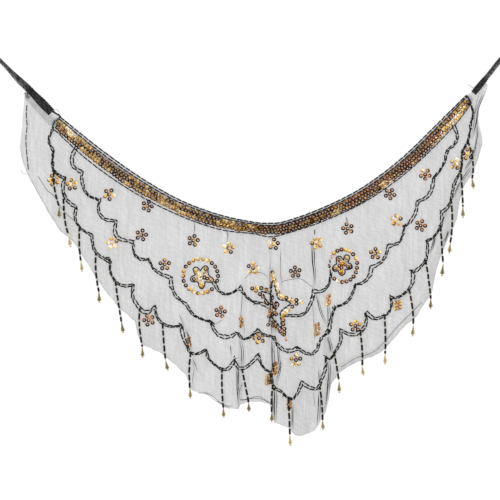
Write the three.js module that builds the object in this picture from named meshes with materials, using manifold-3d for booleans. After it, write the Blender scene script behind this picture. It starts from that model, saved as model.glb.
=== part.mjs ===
// A sheer dance veil laid flat, face up: a crescent of net with hanging folds, a sequin band on
// its hollow upper edge, three scalloped bead lines, bead drops strung from the lowest line,
// two petal flowers, a star crossed by the middle pleat, and a tape tie at each top corner.
// Millimetres. +X runs along the band, +Y from the hem towards the ties, +Z up from the table.
// Plan points are measured from one fixed spot of the table, and the group is moved at the end
// so that the origin is under the middle of the whole part.

import * as THREE from 'three';
import Module from 'manifold-3d';

const wasm = await Module();
wasm.setup();

// ---- Cloth ----
const NET_WALL = 1.1; // net and its turned edges, as one wall
const SEAM_GAP = 0.3; // air between a piece and the net that it lies on
const NET_COLUMN = 12; // widest column of the net between two hang lines
const NET_ROWS = [0, 0.07, 0.18, 0.3, 0.42, 0.54, 0.66, 0.78, 0.9, 1];
const NET_COLUMN_LEAST = 1.4; // columns closer than this along the hem are left out
const FOLD_GROWTH = 0.35; // share of a fold's length over which it rises
const FOLD_RUN_ON = 1.1; // a fold runs on a little past its low end, to the hem
const CLEAR_ACROSS = 6; // a piece on the net clears the folds this far to its sides
const CLEAR_DOWN = 14; // and this far up and down the net
const NET_SIDE = 232; // beyond this, left or right, lies no net
const FLOOR_GAP = 0.4; // hanging beads end just above the table
const HEM_MARGIN = 2; // a drop starts to come down only this far past the hem

// ---- Trims ----
const BAND_RISE = 1.2; // band between its bead rows
const BAND_RIB = 0.7; // how much a bead or sequin row stands up from the band
const BAND_STEPS = 4; // lengths between two rows of the band's table
const EDGE_STEPS = 60; // steps of the net's edge under the band
const BAND_INSET = 0.15; // the net ends this far inside the band
const LINE_WIDTH = 3.2; // double row of beads
const LINE_RISE = 1.3;
const STAR_WIDTH = 4.6; // a bead row with a sequin row outside it
const STEP = 5; // length of one step of a bead line
const DROP_STEPS = 6;
const DROP_STRAND = 1.5; // bugle beads of a drop
const DROP_PEAR = 4.6; // widest part of the pear bead at its end
const DROP_TIP = 1.9; // small stopper bead
const FLOWER_RISE = 1.6;
const FLOWER_PETALS = 5;
const FLOWER_CORNERS = 6; // outline steps of one petal
const FLOWER_WAIST = 0.38; // reach between two petals, as a share of a petal's reach
const PETAL_BLUNTNESS = 0.8;

// ---- Ties ----
const TIE_RISE = 1.4; // folded tape

// Where the hem runs, left corner to right corner: a row for each swing of the hanging edge.
const HEM = [
  { x: -230, y: 104 }, { x: -229, y: 94 }, { x: -225, y: 81 }, { x: -218.5, y: 68 },
  { x: -206, y: 45 }, { x: -197.5, y: 31 }, { x: -189, y: 18 }, { x: -177, y: 9 },
  { x: -168.5, y: -4 }, { x: -152, y: -31 }, { x: -139, y: -48 }, { x: -129, y: -60 },
  { x: -115, y: -71 }, { x: -113, y: -82 }, { x: -108.5, y: -95 }, { x: -99, y: -98 },
  { x: -86, y: -105 }, { x: -64, y: -125 }, { x: -59, y: -139 }, { x: -51, y: -143.5 },
  { x: -41, y: -144.5 }, { x: -29.5, y: -154 }, { x: -22, y: -158.5 }, { x: -11.5, y: -159 },
  { x: -9.5, y: -154 }, { x: 0, y: -152 }, { x: 11, y: -151.5 }, { x: 19, y: -154.5 },
  { x: 21.5, y: -158 }, { x: 24, y: -173 }, { x: 31, y: -174.5 }, { x: 38, y: -178 },
  { x: 45, y: -185 }, { x: 53, y: -185.5 }, { x: 64, y: -181 }, { x: 69.5, y: -173 },
  { x: 75, y: -163 }, { x: 78.5, y: -150 }, { x: 81, y: -135 }, { x: 89, y: -123 },
  { x: 102, y: -114 }, { x: 129, y: -104 }, { x: 144, y: -89 }, { x: 151, y: -80 },
  { x: 167, y: -66 }, { x: 175, y: -52 }, { x: 181, y: -46 }, { x: 187, y: -17 },
  { x: 194, y: 2 }, { x: 201.5, y: 19 }, { x: 207, y: 31 }, { x: 209.5, y: 48 },
  { x: 213.5, y: 63 }, { x: 221, y: 75 }, { x: 227, y: 87 }, { x: 232.4, y: 106 },
];

// The band, left end to right end: its top edge and the low edge across from it.
const BAND = [
  { topX: -189, topY: 133, lowX: -197, lowY: 122 },
  { topX: -150, topY: 102, lowX: -160, lowY: 88.5 },
  { topX: -110, topY: 73.5, lowX: -118, lowY: 59.2 },
  { topX: -70, topY: 50.5, lowX: -76, lowY: 37.2 },
  { topX: -30, topY: 35.5, lowX: -33, lowY: 21.5 },
  { topX: 5, topY: 28, lowX: 4, lowY: 16 },
  { topX: 20, topY: 27.3, lowX: 20, lowY: 12.6 },
  { topX: 35, topY: 29, lowX: 37, lowY: 16.2 },
  { topX: 70, topY: 41.5, lowX: 75, lowY: 29 },
  { topX: 110, topY: 61.5, lowX: 117, lowY: 49 },
  { topX: 150, topY: 91, lowX: 159, lowY: 79 },
  { topX: 190, topY: 129.5, lowX: 200.5, lowY: 119.5 },
  { topX: 215.5, topY: 154.5, lowX: 221, lowY: 145.5 },
];
// Ribs across the band, top edge to low edge: bead rows, then sequin rows, then a bead row.
const BAND_RIBS = [
  { across: 0, rib: 1 }, { across: 0.2, rib: 0.2 }, { across: 0.3, rib: 1 },
  { across: 0.5, rib: 0.8 }, { across: 0.7, rib: 1 }, { across: 0.82, rib: 0.1 },
  { across: 1, rib: 1 },
];

// The net's upper corners beyond the band, under the ties.
const LEFT_CORNER = [{ x: -225, y: 158 }, { x: -219, y: 158 }, { x: -209, y: 148 }, { x: -198, y: 138.5 }];
const RIGHT_CORNER = [{ x: 223, y: 158.5 }, { x: 228.5, y: 164.5 }, { x: 233, y: 169 }, { x: 237.6, y: 165 }];

// The net's right side curls in between its corner and the hem: where, and how far.
const RIGHT_CURL = { fromHemX: 207, toHemX: 232.4, lowY: 106, highY: 165, inward: 7 };

// How the net hangs: a thread at this place on the upper edge meets the hem at this place.
const HANG = [
  { top: -225, hem: -230 }, { top: -189, hem: -197 }, { top: -110, hem: -106 },
  { top: -73, hem: -60 }, { top: -9, hem: -10.5 }, { top: 21, hem: 23.5 }, { top: 31, hem: 32 },
  { top: 40, hem: 41.5 }, { top: 61, hem: 69 }, { top: 64, hem: 76.5 }, { top: 80, hem: 84 },
  { top: 140, hem: 150 }, { top: 214, hem: 207 }, { top: 237.6, hem: 232.4 },
];

// Folds: where each ridge starts and ends, how far it stands up and how wide it is.
const FOLDS = [
  { name: 'left tuck', x1: -71, y1: -62, x2: -59, y2: -137, rise: 3.2, width: 9 },
  { name: 'short tuck', x1: -20, y1: -90, x2: -11.5, y2: -159, rise: 2.6, width: 7 },
  { name: 'tuck under the left cusp', x1: -9, y1: -30, x2: -9.5, y2: -154, rise: 3, width: 8 },
  { name: 'middle pleat', x1: 20, y1: 4, x2: 24, y2: -173, rise: 4.2, width: 9 },
  { name: 'middle pleat, right lip', x1: 31, y1: -2, x2: 31, y2: -140, rise: 2.6, width: 8 },
  { name: 'low tuck', x1: 39, y1: -112, x2: 41.5, y2: -182, rise: 2.2, width: 7 },
  { name: 'right pleat', x1: 61.5, y1: 6, x2: 77, y2: -160, rise: 4.2, width: 10 },
  { name: 'right lip', x1: 66, y1: -130, x2: 69, y2: -175, rise: 2.4, width: 7 },
  { name: 'right side crumple', x1: 187, y1: 8, x2: 180, y2: -40, rise: 2.2, width: 9 },
  { name: 'right edge crumple', x1: 205, y1: 60, x2: 202, y2: 24, rise: 2.2, width: 9 },
  { name: 'right corner crumple', x1: 228, y1: 156, x2: 226, y2: 118, rise: 2, width: 8 },
];

// Scalloped bead lines. Each row is one stretch: where it ends, and the belly point that the
// stretch is drawn towards as a soft arc.
const INNER_LEFT = {
  start: [-37.5, -30.5],
  runs: [
    { belly: [-28, -55], end: [-9, -36] }, { belly: [-7, -49], end: [6, -52.5] },
    { belly: [13, -54], end: [18, -56.5] },
  ],
};
const INNER_RIGHT = {
  start: [39, -64.8],
  runs: [
    { belly: [58, -71], end: [62.5, -47] }, { belly: [63, -43], end: [63, -40.5] },
    { belly: [74, -45], end: [79.5, -32] }, { belly: [81.2, -27], end: [81.6, -22.5] },
  ],
};
const MIDDLE_LEFT = {
  start: [-175.5, 99],
  runs: [
    { belly: [-183, 80], end: [-168, 78.5] }, { belly: [-171, 54], end: [-150, 50] },
    { belly: [-157, 27], end: [-133.5, 29.5] }, { belly: [-140, 7], end: [-116.5, 9] },
    { belly: [-121, -12], end: [-101, -9] }, { belly: [-96, -25], end: [-79, -27.5] },
    { belly: [-81, -42], end: [-69, -50] }, { belly: [-64, -53], end: [-60, -60] },
    { belly: [-55, -70], end: [-39, -71.5] },
  ],
};
const MIDDLE_CENTRE = {
  start: [-38, -73.3],
  runs: [
    { belly: [-33, -94], end: [-12, -83] }, { belly: [-7, -97], end: [8, -79.5] },
    { belly: [16, -87], end: [24, -86.5] }, { belly: [28, -101], end: [38, -101] },
    { belly: [44, -101], end: [47, -97.5] }, { belly: [63, -111], end: [69, -95] },
    { belly: [70, -86], end: [78, -83] },
  ],
};
const MIDDLE_RIGHT = {
  start: [79, -81.5],
  runs: [
    { belly: [81, -66], end: [84, -57] }, { belly: [102, -55], end: [105.5, -34.5] },
    { belly: [121, -33], end: [120.5, -17] }, { belly: [136, -15], end: [138.5, 4.5] },
    { belly: [154, 4], end: [153.5, 24.5] }, { belly: [166, 27], end: [167.5, 48.5] },
    { belly: [183, 52], end: [183.5, 73] }, { belly: [195, 80], end: [196.5, 99] },
    { belly: [213, 111], end: [204.5, 121] },
  ],
};

// The lower line in five stretches, with the drops strung from each: where a drop leaves the
// line, where it bends, where its pear bead begins and where it ends.
const DROP_LINES = [
  {
    start: [-197, 118.5],
    runs: [
      { belly: [-206, 110], end: [-196, 100] }, { belly: [-200, 89], end: [-196, 79] },
      { belly: [-191, 72], end: [-184.5, 72.5] }, { belly: [-193, 53], end: [-173.5, 42] },
      { belly: [-180, 24], end: [-158, 15.5] }, { belly: [-159.5, -5], end: [-143.2, -10] },
    ],
    drops: [
      { root: [-196.4, 79], bend: [-195.5, 62], neck: [-190.5, 43], tip: [-190.6, 31.5] },
      { root: [-188.2, 56], bend: [-185, 30], neck: [-180.8, 14.5], tip: [-179.2, 2.8] },
      { root: [-171.8, 23], bend: [-170.5, 3], neck: [-169, -10.5], tip: [-167.8, -22] },
      { root: [-153, -2], bend: [-154, -22], neck: [-151, -41.5], tip: [-150.5, -53] },
    ],
  },
  {
    start: [-140, -10.5],
    runs: [
      { belly: [-140.5, -40], end: [-117, -35.5] }, { belly: [-121, -47], end: [-110, -58] },
      { belly: [-104, -67], end: [-94.5, -56] }, { belly: [-96, -80], end: [-69.5, -75.5] },
    ],
    drops: [
      { root: [-134.5, -32], bend: [-131.5, -53], neck: [-128.5, -71.5], tip: [-126.6, -83.5] },
      { root: [-110, -58.5], bend: [-110.6, -75], neck: [-107.7, -96.5], tip: [-107.3, -108] },
      { root: [-87.6, -76.5], bend: [-86, -94], neck: [-84.3, -110.5], tip: [-82, -120.5] },
    ],
  },
  {
    start: [-69, -77.5],
    runs: [
      { belly: [-66, -90], end: [-60, -102] }, { belly: [-54, -106], end: [-44, -100] },
      { belly: [-42, -114], end: [-28, -119] }, { belly: [-19, -121], end: [-15.5, -108.5] },
      { belly: [-12, -131], end: [8, -105.5] }, { belly: [12, -118], end: [20, -122] },
      { belly: [22, -128], end: [23, -136] },
    ],
    drops: [
      { root: [-60, -103], bend: [-60.7, -120], neck: [-60, -137.5], tip: [-59.5, -148.5] },
      { root: [-29, -119.5], bend: [-28, -138], neck: [-26.7, -157.5], tip: [-26.3, -167.5] },
      { root: [-8, -121], bend: [-3.5, -141], neck: [-1.3, -152.5], tip: [-1, -161.5] },
      { root: [22.2, -134.5], bend: [21.5, -150], neck: [21.7, -162], tip: [21.6, -171.5] },
    ],
  },
  {
    start: [24.2, -138.5],
    runs: [
      { belly: [30, -139], end: [34, -145] }, { belly: [46, -157], end: [51.5, -131] },
      { belly: [55, -136], end: [61, -138] }, { belly: [70, -141], end: [71, -131] },
      { belly: [77, -119], end: [75.5, -106] }, { belly: [80, -113], end: [84, -102] },
      { belly: [94, -93], end: [90.3, -79.5] }, { belly: [102, -89], end: [111.5, -80.5] },
      { belly: [118, -74], end: [115.6, -62.5] },
    ],
    drops: [
      { root: [38.7, -148], bend: [39.3, -170], neck: [39.8, -184], tip: [40.4, -196] },
      { root: [70.2, -136.5], bend: [71.8, -154], neck: [72.4, -169.5], tip: [73, -179.5] },
      { root: [84, -102.5], bend: [86.7, -117], neck: [89, -131.5], tip: [89.3, -143] },
      { root: [111.3, -81.5], bend: [112.3, -103], neck: [112, -115.5], tip: [113.4, -125.5] },
    ],
  },
  {
    start: [120.6, -66.4],
    runs: [
      { belly: [124, -72], end: [134.5, -66] }, { belly: [145, -58], end: [139.8, -46] },
      { belly: [148, -52], end: [159, -39] }, { belly: [167, -30], end: [160.8, -20] },
      { belly: [167, -24], end: [175.3, -10] }, { belly: [180, 2], end: [176.3, 9.5] },
      { belly: [184, 9], end: [190.3, 24] }, { belly: [193, 32], end: [190.5, 38] },
      { belly: [198, 40], end: [201.3, 50] }, { belly: [202, 58], end: [203.5, 66] },
      { belly: [208, 73], end: [211, 82.5] }, { belly: [213, 91], end: [211.3, 98.5] },
      { belly: [217, 104], end: [219, 112] }, { belly: [219, 122], end: [221.5, 130] },
      { belly: [223.5, 138], end: [221.5, 142] },
    ],
    drops: [
      { root: [134.5, -67], bend: [135.4, -88], neck: [135, -103.5], tip: [135, -114.5] },
      { root: [160, -40], bend: [162.6, -60], neck: [163.2, -75], tip: [162.4, -86.5] },
      { root: [175.5, -11], bend: [178.5, -30], neck: [180.5, -48.5], tip: [180.4, -59] },
      { root: [190.4, 23.5], bend: [191.7, 2], neck: [192.9, -14], tip: [191.7, -26.5] },
      { root: [201.8, 49], bend: [202, 28], neck: [200, 7.5], tip: [199, -3.5] },
      { root: [211.3, 81.5], bend: [212, 58], neck: [212.7, 43.5], tip: [212.8, 32] },
      { root: [219.5, 108], bend: [222.8, 88], neck: [221.8, 71.5], tip: [223.5, 61] },
    ],
  },
];

// The star: its right side and its left arm, which the middle pleat parts.
const STAR_RIGHT = {
  start: [23, -22],
  runs: [
    { belly: [28, -34], end: [30, -44] }, { belly: [33, -49], end: [49, -51] },
    { belly: [44, -57], end: [33, -61.5] }, { belly: [31.5, -74], end: [34.5, -88] },
  ],
};
const STAR_LEFT = {
  start: [18, -41],
  runs: [{ belly: [10, -38], end: [2, -38.5] }, { belly: [9, -44], end: [15.5, -50.5] }],
};

// Petal flowers: middle, reach of a petal, and how far the first petal is turned from +X.
const FLOWERS = [
  { name: 'flower_left', x: -49, y: -27, reach: 10.5, turn: 61 },
  { name: 'flower_right', x: 92.5, y: -15.5, reach: 9, turn: 60 },
];

// Tape ties: sections from the sewn end to the free end. A tie rides on the net and comes down
// onto the table past its corner. onNet is its height as a share of the net's wall and gap, and
// is over 1 where the net begins to rise into a fold.
const TIES = [
  {
    name: 'tie_left',
    sections: [
      { x: -198.3, y: 137.4, width: 8, onNet: 1 }, { x: -209, y: 148.4, width: 8, onNet: 1 },
      { x: -219.5, y: 159.2, width: 7.2, onNet: 1 }, { x: -226.5, y: 165.8, width: 6, onNet: 1 },
      { x: -234, y: 173, width: 5.2, onNet: 0 }, { x: -250, y: 189.5, width: 3.8, onNet: 0 },
      { x: -270, y: 209, width: 4.8, onNet: 0 }, { x: -290, y: 225, width: 6, onNet: 0 },
      { x: -308, y: 235, width: 7, onNet: 0 }, { x: -322, y: 239.5, width: 7.5, onNet: 0 },
    ],
  },
  {
    name: 'tie_right',
    sections: [
      { x: 223.3, y: 156.8, width: 5.7, onNet: 1.08 }, { x: 228, y: 162.5, width: 5.7, onNet: 1.08 },
      { x: 232.8, y: 168.3, width: 5.6, onNet: 1 }, { x: 238, y: 174.6, width: 4.8, onNet: 1 },
      { x: 242.5, y: 180, width: 4.6, onNet: 0 }, { x: 250, y: 189.5, width: 4.4, onNet: 0 },
      { x: 267, y: 208.5, width: 4.8, onNet: 0 }, { x: 286, y: 225, width: 6, onNet: 0 },
      { x: 305, y: 236, width: 7, onNet: 0 }, { x: 322, y: 242, width: 7.5, onNet: 0 },
    ],
  },
];

// ---- Finishes ----
const finish = (color, roughness, metalness = 0) =>
  new THREE.MeshStandardMaterial({ color, roughness, metalness });
const NET = finish(0x6b6b6c, 0.9);
const TAPE = finish(0x2b2a2a, 0.85);
const SEQUINS = finish(0x9a6428, 0.35, 0.8);
const BEADS = finish(0x1f1d1b, 0.25);
const PETALS = finish(0xc28e3a, 0.35, 0.7);

// ---- Small helpers ----
const lerp = (a, b, t) => a + (b - a) * t;
const clamp01 = (t) => Math.min(1, Math.max(0, t));
const softStep = (t) => clamp01(t) * clamp01(t) * (3 - 2 * clamp01(t));

// Reads column `to` of a table at the place where column `from` has the given value.
function lookUp(rows, from, to, value) {
  for (let i = 1; i < rows.length; i++) {
    if (value <= rows[i][from] || i === rows.length - 1) {
      const span = rows[i][from] - rows[i - 1][from];
      return lerp(rows[i - 1][to], rows[i][to], clamp01((value - rows[i - 1][from]) / span));
    }
  }
  return rows[0][to];
}

// A smooth curve through plan points.
function smoothLine(points) {
  return new THREE.CatmullRomCurve3(
    points.map(([x, y]) => new THREE.Vector3(x, y, 0)), false, 'centripetal');
}

// ---- The net ----
// How far the cloth stands off the table at a plan point, over all the folds.
function foldRise(x, y) {
  let rise = 0;
  for (const fold of FOLDS) {
    const along = (fold.y1 - y) / (fold.y1 - fold.y2);
    if (along <= 0 || along > FOLD_RUN_ON) continue;
    const off = Math.abs(x - lerp(fold.x1, fold.x2, along)) / (fold.width / 2);
    if (off >= 1) continue;
    const grown = softStep(along / FOLD_GROWTH);
    rise = Math.max(rise, fold.rise * grown * Math.cos(off * Math.PI / 2) ** 2);
  }
  return rise;
}

// Height that clears the net around a plan point, one mesh cell each way.
function clearHeight(x, y) {
  let rise = 0;
  for (let across = -1; across <= 1; across += 0.125) {
    for (const down of [-1, -0.5, 0, 0.5, 1]) {
      rise = Math.max(rise, foldRise(x + across * CLEAR_ACROSS, y + down * CLEAR_DOWN));
    }
  }
  return NET_WALL + rise + SEAM_GAP;
}

// The upper edge of the net, left corner to right corner.
const upperEdge = (() => {
  const bandTop = smoothLine(BAND.map((row) => [row.topX, row.topY])).getSpacedPoints(EDGE_STEPS);
  const corner = (rows) => rows.map((row) => ({ x: row.x, y: row.y }));
  const inset = bandTop.map((p) => ({ x: p.x, y: p.y - BAND_INSET }));
  return [...corner(LEFT_CORNER), ...inset, ...corner(RIGHT_CORNER)];
})();

// Hem places at which the net has a column: every row of the table, with extra columns over
// long stretches and across each fold.
function netColumns() {
  const places = [];
  for (let i = 0; i < HEM.length - 1; i++) {
    const length = Math.hypot(HEM[i + 1].x - HEM[i].x, HEM[i + 1].y - HEM[i].y);
    const parts = Math.max(1, Math.round(length / NET_COLUMN));
    for (let k = 0; k < parts; k++) places.push(i + k / parts);
  }
  places.push(HEM.length - 1);
  const steps = HEM.map((row, place) => ({ x: row.x, place }));
  for (const fold of FOLDS) {
    for (const side of [-0.5, -0.25, 0, 0.25, 0.5]) {
      places.push(lookUp(steps, 'x', 'place', fold.x2 + side * fold.width));
    }
  }
  places.sort((a, b) => a - b);
  const kept = [];
  for (const place of places) {
    const hem = hemPoint(place);
    const last = kept.length ? hemPoint(kept[kept.length - 1]) : null;
    if (!last || Math.hypot(hem.x - last.x, hem.y - last.y) > NET_COLUMN_LEAST) kept.push(place);
  }
  kept[kept.length - 1] = HEM.length - 1;
  return kept;
}

function hemPoint(place) {
  const i = Math.min(Math.floor(place), HEM.length - 2);
  return {
    x: lerp(HEM[i].x, HEM[i + 1].x, place - i),
    y: lerp(HEM[i].y, HEM[i + 1].y, place - i),
  };
}

// A closed wall from a grid of upper points and the lower points under them.
function wallFromGrid(upper, lower) {
  const columns = upper.length;
  const rows = upper[0].length;
  const size = columns * rows;
  const positions = [...upper.flat(), ...lower.flat()].flatMap((p) => [p.x, p.y, p.z]);
  const index = [];
  const at = (i, j) => i * rows + j;
  for (let i = 0; i < columns - 1; i++) {
    for (let j = 0; j < rows - 1; j++) {
      const [a, b, c, d] = [at(i, j), at(i + 1, j), at(i + 1, j + 1), at(i, j + 1)];
      index.push(a, d, c, a, c, b);
      index.push(size + a, size + c, size + d, size + a, size + b, size + c);
    }
  }
  const rim = [];
  for (let j = 0; j < rows - 1; j++) rim.push(at(0, j));
  for (let i = 0; i < columns - 1; i++) rim.push(at(i, rows - 1));
  for (let j = rows - 1; j > 0; j--) rim.push(at(columns - 1, j));
  for (let i = columns - 1; i > 0; i--) rim.push(at(i, 0));
  rim.forEach((here, k) => {
    const next = rim[(k + 1) % rim.length];
    index.push(here, size + here, size + next, here, size + next, next);
  });
  return solidGeometry(positions, index);
}

function solidGeometry(positions, index) {
  const geometry = new THREE.BufferGeometry();
  geometry.setAttribute('position', new THREE.Float32BufferAttribute(positions, 3));
  geometry.setIndex(index);
  geometry.computeVertexNormals();
  return geometry;
}

// How far the net is drawn in at its right side.
function rightCurl(hemX, y) {
  const near = clamp01((hemX - RIGHT_CURL.fromHemX) / (RIGHT_CURL.toHemX - RIGHT_CURL.fromHemX));
  const up = clamp01((y - RIGHT_CURL.lowY) / (RIGHT_CURL.highY - RIGHT_CURL.lowY));
  return RIGHT_CURL.inward * near * Math.sin(up * Math.PI) ** 2;
}

function netGeometry() {
  const upper = [];
  const lower = [];
  for (const place of netColumns()) {
    const hem = hemPoint(place);
    const topX = lookUp(HANG, 'hem', 'top', hem.x);
    const topY = lookUp(upperEdge, 'x', 'y', topX);
    const cell = NET_ROWS.map((down) => {
      const y = lerp(topY, hem.y, down);
      return { x: lerp(topX, hem.x, down) - rightCurl(hem.x, y), y };
    });
    upper.push(cell.map(({ x, y }) => ({ x, y, z: NET_WALL + foldRise(x, y) })));
    lower.push(cell.map(({ x, y }) => ({ x, y, z: foldRise(x, y) })));
  }
  return wallFromGrid(upper, lower);
}

// ---- Lofted trims ----
// A closed solid through rings with the same number of points, each ring anticlockwise when
// it is looked at against the direction of the loft.
function loft(rings) {
  const sides = rings[0].length;
  const positions = rings.flat().flatMap((p) => [p.x, p.y, p.z]);
  const index = [];
  for (let i = 0; i < rings.length - 1; i++) {
    for (let k = 0; k < sides; k++) {
      const next = (k + 1) % sides;
      const [a, b] = [i * sides + k, i * sides + next];
      index.push(a, b, b + sides, a, b + sides, a + sides);
    }
  }
  const last = (rings.length - 1) * sides;
  for (let k = 1; k < sides - 1; k++) {
    index.push(0, k + 1, k);
    index.push(last, last + k, last + k + 1);
  }
  return solidGeometry(positions, index);
}

// Directions along a row of plan points, from each point's two neighbours.
function headings(points) {
  return points.map((p, i) => {
    const before = points[Math.max(0, i - 1)];
    const after = points[Math.min(points.length - 1, i + 1)];
    const inward = new THREE.Vector2(p.x - before.x, p.y - before.y);
    const outward = new THREE.Vector2(after.x - p.x, after.y - p.y);
    return inward.normalize().add(outward.normalize()).normalize();
  });
}

// The ribbed band, its ribs set between the top edge and the low edge.
function bandGeometry() {
  const count = (BAND.length - 1) * BAND_STEPS;
  const top = smoothLine(BAND.map((row) => [row.topX, row.topY]));
  const low = smoothLine(BAND.map((row) => [row.lowX, row.lowY]));
  const rings = [];
  for (let i = 0; i <= count; i++) {
    const a = top.getPoint(i / count);
    const b = low.getPoint(i / count);
    const base = NET_WALL + SEAM_GAP;
    const ring = BAND_RIBS.map(({ across, rib }) => ({
      x: lerp(a.x, b.x, across),
      y: lerp(a.y, b.y, across),
      z: base + BAND_RISE + rib * BAND_RIB,
    }));
    ring.push({ x: b.x, y: b.y, z: base }, { x: a.x, y: a.y, z: base });
    rings.push(ring);
  }
  return loft(rings);
}

// The plan points of a scalloped line: an arc for each run, in steps of about the same length.
function scallopPoints(line) {
  const points = [new THREE.Vector2(...line.start)];
  for (const run of line.runs) {
    const from = points[points.length - 1];
    const arc = new THREE.QuadraticBezierCurve(
      from, new THREE.Vector2(...run.belly), new THREE.Vector2(...run.end));
    const steps = Math.max(2, Math.round(arc.getLength() / STEP));
    points.push(...arc.getSpacedPoints(steps).slice(1));
  }
  return points;
}

// The same points at the height where a piece clears the net below it and its neighbours.
function liftedLine(line) {
  const points = scallopPoints(line);
  const heights = points.map((p) => clearHeight(p.x, p.y));
  return points.map((p, i) =>
    new THREE.Vector3(p.x, p.y, Math.max(...heights.slice(Math.max(0, i - 1), i + 2))));
}

// A low strip that follows lifted points over the net.
function stripGeometry(points, width) {
  const heading = headings(points);
  const rings = points.map((p, i) => {
    const side = { x: -heading[i].y, y: heading[i].x };
    const corner = (across, up) => ({
      x: p.x + side.x * across,
      y: p.y + side.y * across,
      z: p.z + up,
    });
    return [
      corner(-width / 2, 0), corner(-width / 3, LINE_RISE),
      corner(width / 3, LINE_RISE), corner(width / 2, 0),
    ];
  });
  return loft(rings.map((ring) => ring.reverse()));
}

// ---- Drops ----
// The spot of a bead line that lies nearest to a plan point.
function nearestOnLine(points, [x, y]) {
  const spots = points.slice(1).flatMap((p, i) =>
    [0, 0.25, 0.5, 0.75, 1].map((t) => points[i].clone().lerp(p, t)));
  const gap = (spot) => Math.hypot(spot.x - x, spot.y - y);
  return spots.reduce((best, spot) => (gap(spot) < gap(best) ? spot : best));
}

// Square rings along a drop: a bead strand, a pear bead and a small bead that stops it.
function dropGeometry(drop, line) {
  const seat = nearestOnLine(line, drop.root);
  const [root, bend, neck] = [[seat.x, seat.y], drop.bend, drop.neck]
    .map((point) => new THREE.Vector2(...point));
  const pull = bend.multiplyScalar(2).sub(root.clone().add(neck).multiplyScalar(0.5));
  const strand = new THREE.QuadraticBezierCurve(root, pull, neck);
  const stops = strand.getSpacedPoints(DROP_STEPS).map((p) => ({ x: p.x, y: p.y, across: DROP_STRAND }));
  const pear = [
    { down: 0.35, across: DROP_PEAR * 0.62 }, { down: 0.66, across: DROP_PEAR },
    { down: 0.84, across: DROP_PEAR * 0.7 }, { down: 0.88, across: DROP_TIP },
    { down: 1, across: DROP_TIP * 0.8 },
  ];
  for (const { down, across } of pear) {
    stops.push({
      x: lerp(drop.neck[0], drop.tip[0], down),
      y: lerp(drop.neck[1], drop.tip[1], down),
      across,
    });
  }
  const heading = headings(stops);
  const rings = stops.map((stop, i) => {
    const side = { x: -heading[i].y, y: heading[i].x };
    const half = stop.across / 2;
    const z = half + (i === 0 ? seat.z : Math.max(strandBase(i, stops), FLOOR_GAP));
    return [
      { x: stop.x, y: stop.y, z: z - half },
      { x: stop.x + side.x * half, y: stop.y + side.y * half, z },
      { x: stop.x, y: stop.y, z: z + half },
      { x: stop.x - side.x * half, y: stop.y - side.y * half, z },
    ];
  });
  return loft(rings);
}

// The hem's height on the plan at a place along the net, to tell what lies beyond it.
function hemY(x) {
  return lookUp(HEM, 'x', 'y', x);
}

// The lowest a strand may lie between its neighbours: over the net until it is past the hem.
function strandBase(i, stops) {
  const spots = stops.slice(Math.max(0, i - 1), i + 2);
  const reach = DROP_PEAR / 2 + 1;
  let base = 0;
  for (const spot of spots) {
    for (const dx of [-reach, 0, reach]) {
      const onNet = Math.abs(spot.x) < NET_SIDE && spot.y > hemY(spot.x + dx) - HEM_MARGIN;
      if (onNet) base = Math.max(base, clearHeight(spot.x, spot.y));
    }
  }
  return base;
}

// ---- Solids joined in one piece ----
function toManifold(geometry) {
  return new wasm.Manifold(new wasm.Mesh({
    numProp: 3,
    vertProperties: new Float32Array(geometry.attributes.position.array),
    triVerts: new Uint32Array(geometry.index.array),
  }));
}

function toGeometry(solid) {
  const mesh = solid.getMesh();
  return solidGeometry(Array.from(mesh.vertProperties), Array.from(mesh.triVerts));
}

// A stretch of the lower line with its drops, each fused to it at the root.
function dropLineGeometry(line) {
  const points = liftedLine(line);
  let solid = toManifold(stripGeometry(points, LINE_WIDTH));
  for (const drop of line.drops) solid = solid.add(toManifold(dropGeometry(drop, points)));
  return toGeometry(solid);
}

// ---- Flowers ----
function flowerGeometry({ x, y, reach, turn }) {
  const shape = new THREE.Shape();
  const steps = FLOWER_PETALS * FLOWER_CORNERS;
  for (let k = 0; k < steps; k++) {
    const angle = THREE.MathUtils.degToRad(turn) + (k / steps) * Math.PI * 2;
    const ripple = Math.abs(Math.cos((k / steps) * Math.PI * FLOWER_PETALS));
    const radius = reach * lerp(FLOWER_WAIST, 1, ripple ** PETAL_BLUNTNESS);
    const point = [x + Math.cos(angle) * radius, y + Math.sin(angle) * radius];
    if (k === 0) shape.moveTo(...point);
    else shape.lineTo(...point);
  }
  const geometry = new THREE.ExtrudeGeometry(shape, { depth: FLOWER_RISE, bevelEnabled: false });
  geometry.translate(0, 0, NET_WALL + SEAM_GAP);
  return geometry;
}

// ---- Ties ----
function tieGeometry({ sections }) {
  const points = sections.map(({ x, y }) => ({ x, y }));
  const heading = headings(points);
  const rings = sections.map((section, i) => {
    const side = { x: -heading[i].y, y: heading[i].x };
    const base = section.onNet * (NET_WALL + SEAM_GAP);
    const corner = (across, up) => ({
      x: section.x + side.x * across * section.width,
      y: section.y + side.y * across * section.width,
      z: base + up,
    });
    return [corner(-0.5, 0), corner(-0.5, TIE_RISE), corner(0.5, TIE_RISE), corner(0.5, 0)];
  });
  return loft(rings.map((ring) => ring.reverse()));
}

// ---- Assembly ----
const veil = new THREE.Group();

function addPiece(name, geometry, material) {
  const mesh = new THREE.Mesh(geometry, material);
  mesh.name = name;
  veil.add(mesh);
}

addPiece('veil_net', netGeometry(), NET);
addPiece('top_band', bandGeometry(), SEQUINS);
for (const tie of TIES) addPiece(tie.name, tieGeometry(tie), TAPE);

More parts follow.
